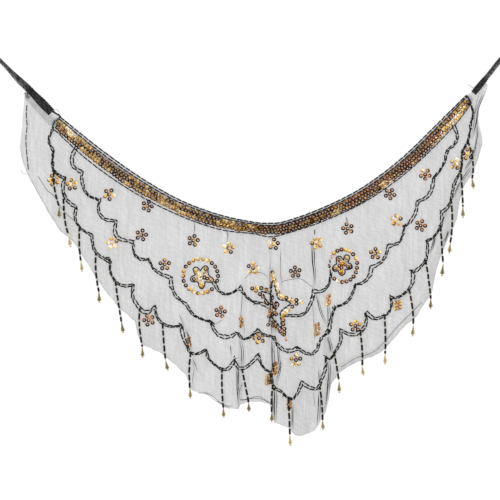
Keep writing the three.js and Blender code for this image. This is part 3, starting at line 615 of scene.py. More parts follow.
def sequin_cup(bm, hole=0.3):
    """A cupped ring with a hole, rim up, outer radius 1."""
    lathed(bm, [(0.3, 1.0), (0.2, 0.86), (0.08, hole + 0.28), (0.04, hole + 0.18),
                (0.02, hole + 0.11), (0.0, hole)], 12)
    bm.verts.index_update()

    # The rim takes the edge tone; the ring round the hole takes mostly the core tone, painted pale
    # as light showing through the hole.
    return lambda p: 1.0 if math.hypot(p[0], p[1]) > hole + 0.1 else 0.3


ROUND = shape_from(round_bead)
BUGLE = shape_from(bugle_bead)
PEAR = shape_from(pear_bead)
CUP = shape_from(sequin_cup)
# The band's sequins have a wider hole.
BAND_CUP = shape_from(lambda bm: sequin_cup(bm, 0.33))


def turned_to(direction, spin=0.0):
    """Columns of a frame whose z runs along direction."""
    z = np.asarray(direction, float)
    z = z / np.linalg.norm(z)
    aside = np.array([0, 0, 1.0]) if abs(z[2]) < 0.9 else np.array([0, 1.0, 0])
    x = np.cross(aside, z)
    x /= np.linalg.norm(x)
    y = np.cross(z, x)
    c, s = math.cos(spin), math.sin(spin)
    return np.column_stack([c * x + s * y, c * y - s * x, z])


class Heap:
    """Collects many small shapes and joins them in one mesh."""

    def __init__(self):
        self.items = []

    def put(self, shape, centre, axes, size, edge, core, painted_glint=None):
        """The painted glint is a colour and an angle: a painted highlight turns that side of the
        rim to this colour.
        """
        self.items.append((shape, np.asarray(centre, float), axes * np.asarray(size, float),
                           np.array(hexed(edge)), np.array(hexed(core)), painted_glint))

    def build(self, name, finish, slot):
        """One piece from all the shapes, each point with its tone, which on sequins and pears holds
        painted light and shade as well as colour.
        """
        points, tones, loops, sizes = [], [], [], []
        start = 0
        for (co, flat, count, shade), centre, axes, edge, core, painted_glint in self.items:
            offset = co @ axes.T
            points.append(offset + centre)
            tone = core + (edge - core) * shade[:, None]
            # Painted highlight: the side of the rim that faces the angle turns towards the bright
            # colour.
            if painted_glint:
                bright, angle = np.array(hexed(painted_glint[0])), painted_glint[1]
                facing = offset[:, :2] @ [math.cos(angle), math.sin(angle)]
                facing = facing / (np.linalg.norm(offset, axis=1) + 1e-9)
                share = np.clip(facing * 1.3 + 0.1, 0, 1) * np.clip(shade * 2 - 1, 0, 1)
                tone = tone + (bright - tone) * share[:, None]
            tones.append(tone)
            loops.append(flat + start)
            sizes.append(count)
            start += len(co)
        return mesh_piece(name, np.vstack(points), np.concatenate(loops),
                          np.concatenate(sizes), finish, tones=np.vstack(tones))


def set_bunch_and_shade(mesh, values):
    """How much denser the net looks at each point, from denser cloth and from painted crease shade,
    read by its finish.
    """
    attribute = mesh.attributes.new("bunch", "FLOAT", "POINT")
    attribute.data.foreach_set("value", np.asarray(values, np.float32))


def mesh_piece(name, points_mm, loops, sizes, finish, tones=None, bunch=None):
    """A piece from points in table millimetres and its faces' corners."""
    mesh = bpy.data.meshes.new(name)
    mesh.vertices.add(len(points_mm))
    mesh.vertices.foreach_set("co", to_frame(points_mm).ravel())
    mesh.loops.add(len(loops))
    mesh.loops.foreach_set("vertex_index", np.asarray(loops, np.int32))
    mesh.polygons.add(len(sizes))
    starts = np.concatenate([[0], np.cumsum(sizes)[:-1]])
    mesh.polygons.foreach_set("loop_start", starts.astype(np.int32))
    mesh.polygons.foreach_set("use_smooth", np.ones(len(sizes), bool))
    mesh.update(calc_edges=True)
    if tones is not None:
        tone = mesh.color_attributes.new("tone", "FLOAT_COLOR", "POINT")
        tone.data.foreach_set("color", tones.astype(np.float32).ravel())
    if bunch is not None:
        set_bunch_and_shade(mesh, bunch)
    return piece_from(name, mesh, finish)


def piece_from(name, data, finish):
    """An object at the origin that rides on the veil's one body."""
    piece = bpy.data.objects.new(name, data)
    bpy.context.collection.objects.link(piece)
    data.materials.append(finish.material)
    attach(piece, BODY)
    return piece


# ---- Net ----
NET_COLUMNS = 500
NET_ROWS = 160
# How dark a crease of strength 1 is, and the share of its length over which each end fades.
CREASE_DARK = 0.16
CREASE_FADE = 0.12
# The turned hem: how dark, how wide, how far the edge dips to the table, and over what width.
HEM_DARK, HEM_WIDE = 0.12, 0.9
HEM_DIP, HEM_DIP_WIDE = 0.75, 2.5
# Creases rise by this share of their stated height, and darken by this share, in the sheet.
SHEET_RISE = 0.8
SHEET_DARK = 0.6
# The hem's ripple: size, wave length and start of each wave, and how strong they are in all.
RIPPLES = [(0.5, 3.1, 0), (0.35, 1.7, 1), (0.3, 7.3, 0)]
RIPPLE_SIZE = 0.6
# The net's upper edge lies this far under the band's.
UNDER_BAND = 0.15


def near_polyline(x, y, points):
    """Signed distance to a polyline, left of it positive, and how far along it, from 0 to 1."""
    best = np.full(x.shape, 1e9)
    side = np.zeros(x.shape)
    along = np.zeros(x.shape)
    run = lengths(np.asarray(points, float))
    for k in range(len(points) - 1):
        (x1, y1), (x2, y2) = points[k], points[k + 1]
        dx, dy = x2 - x1, y2 - y1
        t = np.clip(((x - x1) * dx + (y - y1) * dy) / (dx * dx + dy * dy), 0, 1)
        off_x, off_y = x - (x1 + t * dx), y - (y1 + t * dy)
        far = np.hypot(off_x, off_y)
        closer = far < best
        best = np.where(closer, far, best)
        side = np.where(closer, np.sign(dx * off_y - dy * off_x), side)
        along = np.where(closer, (run[k] + t * (run[k + 1] - run[k])) / run[-1], along)
    return best * np.where(side == 0, 1, side), along


def crease_marks(x, y):
    """How much darker and how much higher the net is at each point, over all creases. The darkening
    is denser cloth at the crease with painted shade spread to either side.
    """
    dark = np.zeros(x.shape)
    high = np.zeros(x.shape)
    for points, left, right, strength, rise in CREASES:
        path = drawn(points, 4)
        reach = max(left, right) * 2.4 + 1
        low, top = path.min(0) - reach, path.max(0) + reach
        near = (x > low[0]) & (x < top[0]) & (y > low[1]) & (y < top[1])
        if not near.any():
            continue
        away, along = near_polyline(x[near], y[near], path)
        # A crease is drawn downwards, so its positive side is the one of larger x.
        spread = np.where(away > 0, right, left)
        taper = np.clip(np.minimum(along, 1 - along) / CREASE_FADE, 0.25, 1)
        bell = np.exp(-(away / spread) ** 2)
        dark[near] += strength * taper * (CREASE_DARK * bell)
        high[near] = np.maximum(high[near], rise * taper * bell)
    return dark, high


def make_net():
    """The net as one thin sheet on the solid's form, with finer creases."""
    hem = np.array(HEM, float)
    top_curve = smooth([row[:2] for row in BAND], 61)
    upper = np.vstack([LEFT_CORNER, top_curve - [0, UNDER_BAND], RIGHT_CORNER])
    hang = np.array(HANG, float)
    place = np.linspace(0, lengths(hem)[-1], NET_COLUMNS)
    low = at(hem, place)
    top_x = np.interp(low[:, 0], hang[:, 1], hang[:, 0])
    top = np.column_stack([top_x, np.interp(top_x, upper[:, 0], upper[:, 1])])
    down = np.linspace(0, 1, NET_ROWS)[:, None]
    x = top[:, 0] + (low[:, 0] - top[:, 0]) * down
    y = top[:, 1] + (low[:, 1] - top[:, 1]) * down
    from_x, to_x, low_y, high_y, inward = RIGHT_CURL
    near = np.clip((low[:, 0] - from_x) / (to_x - from_x), 0, 1)
    x = x - inward * near * np.sin(np.clip((y - low_y) / (high_y - low_y), 0, 1) * math.pi) ** 2
    # The raw edge of the cloth is never quite straight.
    ripple = sum(size * np.sin(place / wave + begin) for size, wave, begin in RIPPLES)
    y = y + ripple * RIPPLE_SIZE * np.clip((down - 0.9) / 0.1, 0, 1)
    dark, high = crease_marks(x, y)
    away, _ = near_polyline(x, y, HEM)
    # Darkening read by the net's alpha: the creases' share is partly denser cloth and partly
    # painted shade; the hem and the turned and doubled cloth are real layers.
    bunch = dark * SHEET_DARK + HEM_DARK * np.exp(-(away / HEM_WIDE) ** 2)
    for start, end, wide, extra in TURNED:
        off, along = near_polyline(x, y, HEM[HEM.index(start):HEM.index(end) + 1])
        inside = (np.abs(off) < wide) & (along > 0.001) & (along < 0.999)
        bunch += np.where(inside, extra, 0)
    for points, wide, extra in DOUBLED:
        off, _ = near_polyline(x, y, points)
        bunch += extra * np.clip((wide - np.abs(off)) / 1.2 + 0.5, 0, 1)
    z = net_height(x, y) + high * SHEET_RISE
    z -= HEM_DIP * np.exp(-(away / HEM_DIP_WIDE) ** 2)
    bm = bmesh.new()
    bmesh.ops.create_grid(bm, x_segments=NET_COLUMNS - 1, y_segments=NET_ROWS - 1, size=1)
    mesh = bpy.data.meshes.new("net_cloth")
    bm.to_mesh(mesh)
    bm.free()
    grid = np.empty(len(mesh.vertices) * 3)
    mesh.vertices.foreach_get("co", grid)
    grid = grid.reshape(-1, 3)
    column = np.rint((grid[:, 0] + 1) / 2 * (NET_COLUMNS - 1)).astype(int)
    row = np.rint((1 - grid[:, 1]) / 2 * (NET_ROWS - 1)).astype(int)
    points = np.column_stack([x[row, column], y[row, column], z[row, column]])
    mesh.vertices.foreach_set("co", to_frame(points).ravel())
    mesh.polygons.foreach_set("use_smooth", np.ones(len(mesh.polygons), bool))
    set_bunch_and_shade(mesh, bunch[row, column])
    mesh.update()
    return piece_from("net_cloth", mesh, soft_net)


net = make_net()
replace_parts(net, "veil_net")

# Crease strips keep this far inside the hem, and count as at the right edge from this x on.
EDGE_CLEAR = 0.6
RIGHT_EDGE_FROM = 223
# A strip's points lie this far apart, and it lies this far over the net and its crease.
STRIP_STEP = 1.5
STRIP_LIFT = 0.3
# Creases fainter than the first get no strip, and stronger ones than the second get two.
ONE_STRIP, TWO_STRIPS = 0.18, 0.5
# A crease of strength 1 sends out one side crease on each so many mm.
SIDE_CREASE_EVERY = 40


def make_fold_edges():
    """Sharp folded edges of the cloth: narrow lapped strips of net along each crease."""
    points, loops, sizes, bunch = [], [], [], []

    def strip(path, wide, dark, rise):
        """A band of net along a path, wandering a little and narrow at both ends."""
        far = lengths(path)[-1]
        count = max(4, int(far / STRIP_STEP))
        spine = at(path, np.linspace(0, far, count))
        # A strip ends where the cloth does.
        inside, _ = near_polyline(spine[:, 0], spine[:, 1], HEM)
        spine = spine[inside > EDGE_CLEAR]
        count = len(spine)
        if count < 4:
            return
        t = np.linspace(0, 1, count)
        drift = 0.5 * np.sin(t * far / 14 + rng.uniform(0, 6)) + 0.25 * np.sin(t * far / 5)
        aside = sides(spine)
        spine = spine + aside * (drift * np.sin(t * math.pi))[:, None]
        swell = np.clip(np.minimum(t / 0.25, (1 - t) / 0.3), 0.1, 1)
        swell = swell * (0.8 + 0.2 * np.sin(t * 7 + rng.uniform(0, 6)))
        half = wide / 2 * np.maximum(swell, 0.2)
        lift = net_height(spine[:, 0], spine[:, 1]) + STRIP_LIFT + SHEET_RISE * rise
        start = len(points)
        for k in range(count):
            for sign in (1, -1):
                spot = spine[k] + aside[k] * half[k] * sign
                points.append((spot[0], spot[1], lift[k] + 0.1 * sign))
                bunch.append(dark * (0.7 + 0.3 * swell[k]))
        for k in range(count - 1):
            a = start + 2 * k
            loops.extend((a, a + 1, a + 3, a + 2))
            sizes.append(4)

    for crease, _, _, strength, rise in CREASES:
        if strength < ONE_STRIP:
            continue
        path = drawn(crease, 6)
        strip(path, 0.5 + 0.6 * strength ** 1.5, strength * 1.35, rise)
        if strength > TWO_STRIPS:
            # The second strip lies to the right of the first, and inside it along the right edge.
            beside = 1.1 + 0.6 * strength
            beside = -beside if path[:, 0].mean() > RIGHT_EDGE_FROM else beside
            strip(path + [beside, 0], 0.4 + 0.3 * strength, strength, 0.6 * rise)
        # Side creases that run off a strong one.
        for _ in range(int(strength * lengths(path)[-1] / SIDE_CREASE_EVERY)):
            far = rng.uniform(0.0, 0.6) * lengths(path)[-1]
            start = at(path, far)
            lean = rng.choice((-1, 1)) * rng.uniform(2, 4)
            end = start + [lean, -rng.uniform(16, 30)]
            strip(np.array([start, (start + end) / 2 + [lean * 0.2, 0], end]), 0.6,
                  strength * 0.45, 0.4 * rise)
    return mesh_piece("net_fold_edges", np.array(points), loops, sizes, soft_net,
                      bunch=bunch)


fold_edges = make_fold_edges()

# ---- Sequins. Tones: rim, the sequin's own colour darkened as painted shade; core, painted pale round the hole as light showing through; lit side, a painted highlight ----
TONES = {
    "g": [("#9c6a1c", "#e4d09c", "#ffd468"), ("#b8842c", "#f4e4b8", "#ffe894"),
          ("#744a10", "#ccb480", "#f0b448"), ("#c8943c", "#fbecc4", "#fff0a8")],
    "d": [("#22130a", "#b0a8a0", "#6a441c"), ("#190e06", "#a49c94", "#8c5c2a"),
          ("#2a190c", "#c4bcb0", "#5a3818")],
    "b": [("#2c1a08", "#b0a08c", "#a86c26"), ("#201206", "#a4947e", "#90591e"),
          ("#3c240c", "#c0b098", "#ca9038")],
    "c": [("#46220c", "#b8a490", "#b8743a"), ("#361808", "#a89078", "#a06030"),
          ("#5a2e12", "#c8b098", "#cc8c4e")],
    # Pale tan, painted lighter against the shade of sequins that stand on edge.
    "f": [("#c2925e", "#ecdcc0", "#f0cc94"), ("#a87c50", "#e0ccb0", "#e2b880"),
          ("#cea676", "#f2e6d0", "#fae0b6")],
    # Sequins painted white: a painted glare.
    "w": [("#e8c070", "#fffaf0", "#fffef8"), ("#f6d890", "#ffffff", "#ffffff"),
          ("#dca850", "#fff4d8", "#fff4c4")],
    # Deeper in the band, where a sequin's hole shows the next one under it, so the core's painted
    # light is dimmer.
    "G": [("#8a6228", "#bca070", "#f4c868"), ("#98702f", "#ccb080", "#fcdc90"),
          ("#6c4a1c", "#9c7c50", "#e0ac50"), ("#a88040", "#dcc494", "#ffe6a8")],
    "D": [("#24160c", "#8c8274", "#5e4022"), ("#1a1008", "#786a5a", "#86602f"),
          ("#2a1a0e", "#a0968a", "#543c20")],
    "B": [("#3a2612", "#94806a", "#a47238"), ("#2e1e0e", "#a49888", "#926430"),
          ("#4c341a", "#94805e", "#c4944c")],
    "C": [("#4a2610", "#a88c74", "#8e5226"), ("#3c1e0c", "#b0a090", "#784220"),
          ("#5c3216", "#ac8c6c", "#a46634")],
    # A painted glare, as w.
    "W": [("#e0b45c", "#fff4d8", "#fffdf0"), ("#f0cc80", "#ffffff", "#ffffff")],
}
# Radii of most sequins, of the band's, and of those in petals and folded rosettes.
SEQUIN = 2.2
BAND_SEQUIN = 2.25
SMALL_SEQUIN = 2.1
# Angle in radians of the rim's lit side, which gets a painted highlight, and how far chance turns
# it.
LIT_SIDE, LIT_SPREAD = 1.6, 0.9


def put_sequin(heap, x, y, z, tone, radius=SEQUIN, lean=(0.0, 0.0), loose=0.16, lit=None,
               shape=CUP):
    """One cupped sequin. lean tilts it in radians about x and y, and loose adds chance."""
    edge, core, bright = random.choice(TONES[tone])
    tilt = Matrix.Rotation(lean[0] + random.gauss(0, loose), 3, "X") @ Matrix.Rotation(
        lean[1] + random.gauss(0, loose), 3, "Y")
    axes = np.array(tilt @ Matrix.Rotation(random.uniform(0, 6.28), 3, "Z"))
    # The side of the rim that gets the painted highlight.
    side = random.gauss(LIT_SIDE, LIT_SPREAD) if lit is None else random.gauss(lit, 0.5)
    heap.put(shape, (x, y, z), axes, (radius, radius, radius), edge, core, (bright, side))


# ---- Bead rows ----
BLACKS = ["#040404", "#080706", "#0d0b0a"]
# Seeds of the lines, small and dull, and of the drops, paler.
DULL_SEEDS = [("#57503a", "#857d62"), ("#6f6850", "#b0a88c"), ("#3f3a2a", "#6f684e"),
              ("#8f876a", "#d2ccb4"), ("#2c281e", "#4c4636"), ("#201d16", "#3a3529")]
PALE_SEEDS = [("#a4945c", "#e0d5a4"), ("#b0a06a", "#eae0b6")]
BUGLE_LONG = 5.4
BUGLE_WIDE = 1.45
SEED_WIDE = 1.05
# A bugle that an end cuts shorter than this is left out. Beads sit this far apart.
BUGLE_LEAST = 1.2
BEAD_GAP = 0.05
# Bugles of the drops, length and width, and their seeds.
DROP_BUGLE = (6.0, 2.15)
DROP_SEED = 1.6
# Tones of the pear beads: paler sides, then darker middle, painted light and shade of the glass.
PEARS = [("#c4b074", "#4e3e1a"), ("#d6c48e", "#604e24"), ("#ae9a5c", "#3c3012"),
         ("#ecdeb0", "#8e7a44")]
# Shares of the way from neck to tip: the pear's widest place, its end and the stopper bead.
PEAR_WIDEST, PEAR_ENDS, STOPPER_AT = 0.66, 0.84, 0.93
# A drop keeps over the net up to this x on both sides, and until it is this far past the hem.
NET_REACH, PAST_HEM = 232, 2
# Width from row to row: its mean, its two waves as size and length, its least and its most.
ROWS_APART = 1.95
APART_WAVES = [(0.7, 15), (0.5, 6.1)]
ROWS_LEAST, ROWS_MOST = 1.15, 3.3
# Waves that both rows share, and how far the rows reach past the ends of a line.
DRIFT_WAVES = [(0.3, 9), (0.25, 3.3)]
ROW_REACH = 1.6


def string_beads(path, black, pale, start=0.0, bugle=BUGLE_LONG, stop=None,
                 seeds=DULL_SEEDS, wide=BUGLE_WIDE, crooked=0.13, seed=SEED_WIDE):
    """Bugles and seeds in turn along a path of x, y, z points."""
    total = lengths(path)[-1] if stop is None else stop
    far = -start
    while far < total:
        long = bugle * random.uniform(0.85, 1.1)
        a, b = max(far, 0), min(far + long, total)
        if b - a > BUGLE_LEAST:
            p, q = at(path, a), at(path, b)
            heading = q - p + np.append(rng.normal(0, crooked, 2) * (b - a), 0)
            black.put(BUGLE, (p + q) / 2, turned_to(heading, random.uniform(0, 1)),
                      (wide / 2, wide / 2, np.linalg.norm(q - p) * 0.98),
                      BLACKS[0], random.choice(BLACKS))
        far += long + BEAD_GAP
        if 0 <= far and far + seed < total:
            edge, core = random.choice(seeds)
            c = at(path, far + seed / 2)
            pale.put(ROUND, c, turned_to(at(path, far + seed) - at(path, far)),
                     (seed / 2, seed / 2, seed / 2 * 0.9), edge, core)
        far += seed + BEAD_GAP


def waves(far, table, turn):
    """The sum of a table's waves, each with its own start."""
    return sum(size * np.sin(far / long + begin) for (size, long), begin in zip(table, turn))


def double_row(runs, line, black, pale, tight):
    """Two rows of hand-sewn beads, now closer and now wider apart, which meet in points."""
    turn = [random.uniform(0, 6.28) for _ in range(4)]
    for side in (0.5, -0.5):
        row = []
        gone = 0.0
        last = None
        for run in runs:
            far = gone + lengths(run)
            gone = far[-1]
            apart = ROWS_APART + waves(far, APART_WAVES, turn[:2])
            apart = np.where(run[:, 1] > tight[0], CLOSER * apart, apart)
            apart = np.clip(apart, ROWS_LEAST, ROWS_MOST)
            apart = np.where(run[:, 1] > tight[1], MERGED, apart)
            away = side * apart + waves(far, DRIFT_WAVES, turn[2:])
            normal = sides(run)
            if last is not None:
                # The point between two runs, no further out than twice the row's own place.
                both = last + normal[0]
                row.append((run[0] + both * away[0] / max(0.5, both @ both / 2))[None])
            row.append((run + normal * away[:, None])[1:-1])
            last = normal[-1]
        # The rows reach a little past both ends, up to the piece that comes next.
        row = np.vstack(row)
        before, after = row[0] - row[1], row[-1] - row[-2]
        row = np.vstack([row[0] + before / np.linalg.norm(before) * ROW_REACH, row,
                         row[-1] + after / np.linalg.norm(after) * ROW_REACH])
        place = np.argmin(np.hypot(line[:, 0] - row[:, :1], line[:, 1] - row[:, 1:2]), axis=1)
        row = np.column_stack([row, line[place, 2] + BUGLE_WIDE / 2 + 0.1])
        string_beads(row, black, pale, random.uniform(0, 1) + (0 if side > 0 else BUGLE_LONG / 2))
    # Seed beads that sit loose between the rows.
    middle = np.vstack(runs)
    far = 0.0
    while far < lengths(middle)[-1]:
        spot = at(middle, far) + rng.normal(0, 0.55, 2)
        high = nearest(line, spot)[2]
        edge, core = random.choice(DULL_SEEDS)
        pale.put(ROUND, (*spot, high + 0.5), np.eye(3), (0.45, 0.45, 0.4), edge, core)
        far += random.uniform(1.2, 3.4)


def strand_base(i, stops):
    """The lowest a drop may lie: over the net until it is past the hem."""
    hem = np.array(HEM, float)
    base = 0.0
    for x, y in stops[max(0, i - 1):i + 2]:
        for dx in (-DROP_PEAR / 2 - 1, 0, DROP_PEAR / 2 + 1):
            if abs(x) < NET_REACH and y > np.interp(x + dx, hem[:, 0], hem[:, 1]) - PAST_HEM:
                base = max(base, clear_height(x, y))
    return max(base, FLOOR_GAP)


def put_drop(line, drop, black, pale):
    """A strand of bugles and seeds with a pear bead and a small stopper bead."""
    root, bend, neck, tip = (np.array(p, float) for p in drop)
    start = nearest(line, root)
    root = start[:2]
    pull = 2 * bend - (root + neck) / 2
    strand = arc(root, pull, neck, 7)
    stops = np.vstack([strand, neck + (tip - neck) * PEAR_WIDEST, tip])
    base = np.array([start[2]] + [strand_base(i, stops) for i in range(1, len(stops))])
    half = np.array([DROP_STRAND / 2] * 7 + [DROP_PEAR / 2, 0.8])
    path = np.column_stack([stops, base + half])
    path[6, 2] = (path[5, 2] + path[7, 2]) / 2
    far = lengths(path)
    string_beads(path, black, pale, start=random.uniform(0, 3), stop=far[6],
                 seeds=PALE_SEEDS, bugle=DROP_BUGLE[0], wide=DROP_BUGLE[1], crooked=0.03,
                 seed=DROP_SEED)
    top, low = path[6], path[6] + (path[8] - path[6]) * PEAR_ENDS
    low[2] = base[-1] + DROP_PEAR / 2 + 0.2
    edge, core = random.choice(PEARS)
    pale.put(PEAR, top, turned_to(low - top, random.uniform(-0.25, 0.25)),
             (DROP_PEAR / 2 * 0.92, DROP_PEAR / 2 * 0.92, np.linalg.norm(low - top)), edge, core)
    end = path[6] + (path[8] - path[6]) * STOPPER_AT
    end[2] = low[2] - 0.4
    pale.put(ROUND, end, turned_to(low - top), (1.0, 1.0, 0.95), "#9c8a54", "#efe6c4")


def put_knot(line, cusp, black):
    """One to three crossed beads where two runs of a line meet in a point."""
    spot = nearest(line, cusp)
    for _ in range(random.choice((1, 2, 3))):
        swing = random.uniform(0, math.pi)
        reach = np.array([math.cos(swing), math.sin(swing), 0.1])
        offset = np.append(rng.normal(0, 0.7, 2), BUGLE_WIDE / 2 + 0.5)
        black.put(BUGLE, spot + offset, turned_to(reach), (0.5, 0.5, random.uniform(2, 3.2)),
                  BLACKS[0], random.choice(BLACKS))


# Above the first y the two rows of a line lie closer together, above the second they look as one.
TIGHT = {"drop_line_5": (45, 127), "drop_line_1": (74, 200)}
NOWHERE = (math.inf, math.inf)
CLOSER = 0.68
MERGED = 0.75
# Beads that run on to the piece that a line comes from, or goes to: a start or end and a belly.
LEAD_IN = {
    "inner_line_right": [(33.5, -64.5), (36, -66)],
    "middle_line_left": [(-173.5, 102.5), (-175, 101)],
    "middle_line_centre": [(-40, -71.2), (-38.6, -71.4)],
    "middle_line_right": [(77, -83), (78.4, -82.6)],
    "drop_line_1": [(-196.5, 122), (-196, 120)],
    "drop_line_2": [(-142.4, -8.4), (-140.4, -7.6)],
    "drop_line_3": [(-70.6, -75), (-69.4, -75.4)],
    "drop_line_5": [(116.4, -62.6), (118.4, -64.4)],
}
LEAD_OUT = {
    "drop_line_1": [(-141, -10.2), (-139.6, -12)],
    "drop_line_2": [(-68.4, -75.6), (-67.8, -77.6)],
    "drop_line_3": [(23.2, -137.6), (24.4, -139)],
    "middle_line_left": [(-37.6, -71.6), (-36.8, -74)],
    "middle_line_centre": [(79.4, -82.6), (79.6, -80.4)],
    "drop_line_5": [(220, 145), (219, 146.5)],
    "middle_line_right": [(204, 122.3), (203.6, 124)],
}
# Loose beads that wind round a line, from end to end.
LOOSE = {
    "drop_line_1": [(-197.5, 99), (-196, 94), (-198, 90), (-195.4, 87), (-197.6, 84),
                    (-195.2, 80), (-192, 76.5), (-188, 73.5)],
}
LIFTED = {}
for name, row in LINES.items():
    LIFTED[name] = lifted(scallops(row))
    black, pale = Heap(), Heap()
    whole = LEAD_IN.get(name, []) + row + LEAD_OUT.get(name, [])
    double_row(runs_of(whole), LIFTED[name], black, pale, TIGHT.get(name, NOWHERE))
    if name in LOOSE:
        wound = smooth(LOOSE[name], 60)
        wound = np.column_stack([wound, np.full(len(wound), LIFTED[name][0, 2] + 1.7)])
        string_beads(wound, black, pale, bugle=2.6, crooked=0.3)
    for cusp in row[2:-1:2]:
        put_knot(LIFTED[name], cusp, black)
    for drop in DROPS.get(name, []):
        put_drop(LIFTED[name], drop, black, pale)
    bugles = black.build(name + "_bugles", black_glass, "beads")
    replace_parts(bugles, name)
    pale.build(name + "_seeds", champagne_glass, "pearls")

# ---- Band ----
# Bead rows: share of the way from the top edge to the low edge, and bead width.
BAND_BEADS = [(0.04, 1.5), (0.19, 1.45), (0.965, 1.3)]
# Left of the band's point the low row moves to this share, between these two x.
LOW_ROW_LEFT = 1.02
LOW_ROW_FROM, LOW_ROW_TO = 20, -20
# Sequin rows: share of the band's width, and what is added to it from this x on.
BAND_SEQUINS = [(0.39, -0.03), (0.575, 0.02), (0.76, 0.01)]
RIGHT_OF_POINT = 25
# The band's point as a row of BAND, and its low y for the sequin rows, which cut it short.
POINT_ROW, POINT_LOW = 6, 15.4
# Tones of the three sequin rows, read along the band: x, then letters to draw from.
BAND_TONES = [
    (-195, "gb", "bd", "d"), (-186, "g", "gb", "bd"), (-183, "w", "wg", "bd"),
    (-175, "w", "wwd", "bd"), (-172, "g", "gd", "bd"), (-166, "g", "db", "g"),
    (-160, "g", "db", "g"), (-156, "db", "gb", "g"), (-148, "db", "db", "db"),
    (-142, "g", "db", "gb"), (-135, "gb", "db", "db"), (-125, "gb", "db", "gb"),
    (-112, "gb", "db", "gb"), (-95, "gd", "gb", "gb"), (-75, "gb", "gb", "g"),
    (-50, "db", "db", "db"),
    (-35, "bd", "db", "bd"), (-18, "bg", "gb", "g"), (0, "gb", "gb", "gb"),
    (12, "dc", "db", "bc"), (45, "dc", "bd", "dc"), (75, "cd", "bd", "cb"),
    (85, "bc", "gc", "g"), (95, "cb", "cb", "cb"), (120, "cd", "cd", "cb"),
    (136, "cb", "gc", "wg"), (144, "cd", "cb", "gc"), (170, "dc", "cb", "c"),
    (184, "cd", "cb", "gc"), (192, "cb", "gc", "gw"), (200, "bc", "wgc", "wg"),
    (208, "gc", "gw", "w"), (214, "gc", "gcw", "gw"), (221, "gc", "gc", "cg"),
]
# Beads round both slanted ends.
BAND_END_BEADS = [
    (-189.6, 133.4), (-190.6, 132), (-192, 130.6), (-193.6, 129.2), (-195.2, 127.6),
    (-196.4, 125.8), (-197, 124), (-196.6, 122.4), (216.2, 154), (217.4, 152.8), (218.4, 151.4),
    (219.4, 150), (220.2, 148.4), (220.8, 146.8),
]
BAND_HEIGHT = NET_WALL + SEAM_GAP + 0.7


def band_row(share, straight=False):
    """Points along the band at a share of its width."""
    rows = [list(row) for row in BAND]
    if straight:
        rows[POINT_ROW][3] = POINT_LOW
    top = smooth([row[:2] for row in rows], 400)
    low = smooth([row[2:] for row in rows], 400)
    return top + (low - top) * share


def band_tone(x, row):
    """A tone for a sequin of one row, drawn from the two table rows that x lies between."""
    stops = [entry[0] for entry in BAND_TONES]
    k = int(np.clip(np.searchsorted(stops, x), 1, len(stops) - 1))
    share = (x - stops[k - 1]) / (stops[k] - stops[k - 1])
    entry = BAND_TONES[k] if random.random() < share else BAND_TONES[k - 1]
    return random.choice(entry[1 + row]).upper()


def make_band():
    """Three bead rows, three sequin rows and the beads round both ends."""
    black, pale, sequins = Heap(), Heap(), Heap()
    for k, (share, wide) in enumerate(BAND_BEADS):
        path = band_row(share)
        if k == 2:
            left = np.clip((LOW_ROW_FROM - path[:, :1]) / (LOW_ROW_FROM - LOW_ROW_TO), 0, 1)
            path = path + (band_row(LOW_ROW_LEFT) - path) * left
        path = np.column_stack([path, np.full(len(path), BAND_HEIGHT + 0.65)])
        string_beads(path, black, pale, start=1.7 * k, wide=wide, crooked=0.05)
    for row, (share, extra) in enumerate(BAND_SEQUINS):
        path = band_row(share, straight=True)
        moved = band_row(share + extra, straight=True)
        path = np.where(path[:, :1] > RIGHT_OF_POINT, moved, path)
        total = lengths(path)[-1]
        far = 1.6 + 0.9 * row
        while far < total - 1.2:
            x, y = at(path, far)
            heading = at(path, far + 1) - at(path, far - 1)
            slope = math.atan2(heading[1], heading[0])
            # Each sequin lies a little on the one before it.
            lean = (-math.sin(slope) * 0.12, -math.cos(slope) * 0.22)
            across = random.gauss(0, 0.25) + 0.3 * math.sin(far / 13 + 2 * row)
            put_sequin(sequins, x - math.sin(slope) * across, y + math.cos(slope) * across,
                       BAND_HEIGHT + 0.45 + 0.12 * row, band_tone(x, row), radius=BAND_SEQUIN,
                       lean=lean, loose=0.1, lit=slope + LIT_SIDE, shape=BAND_CUP)
            far += random.uniform(2.8, 4.0)
    for x, y in BAND_END_BEADS:
        black.put(ROUND, (x, y, BAND_HEIGHT + 0.8), np.eye(3), (1.0, 1.0, 0.8),
                  BLACKS[0], BLACKS[2])
    beads = black.build("band_bugles", black_glass, "beads")
    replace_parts(beads, "top_band")
    pale.build("band_seeds", champagne_glass, "pearls")
    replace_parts(sequins.build("band_sequins", sequin_film, "sequins"), "top_band")


make_band()

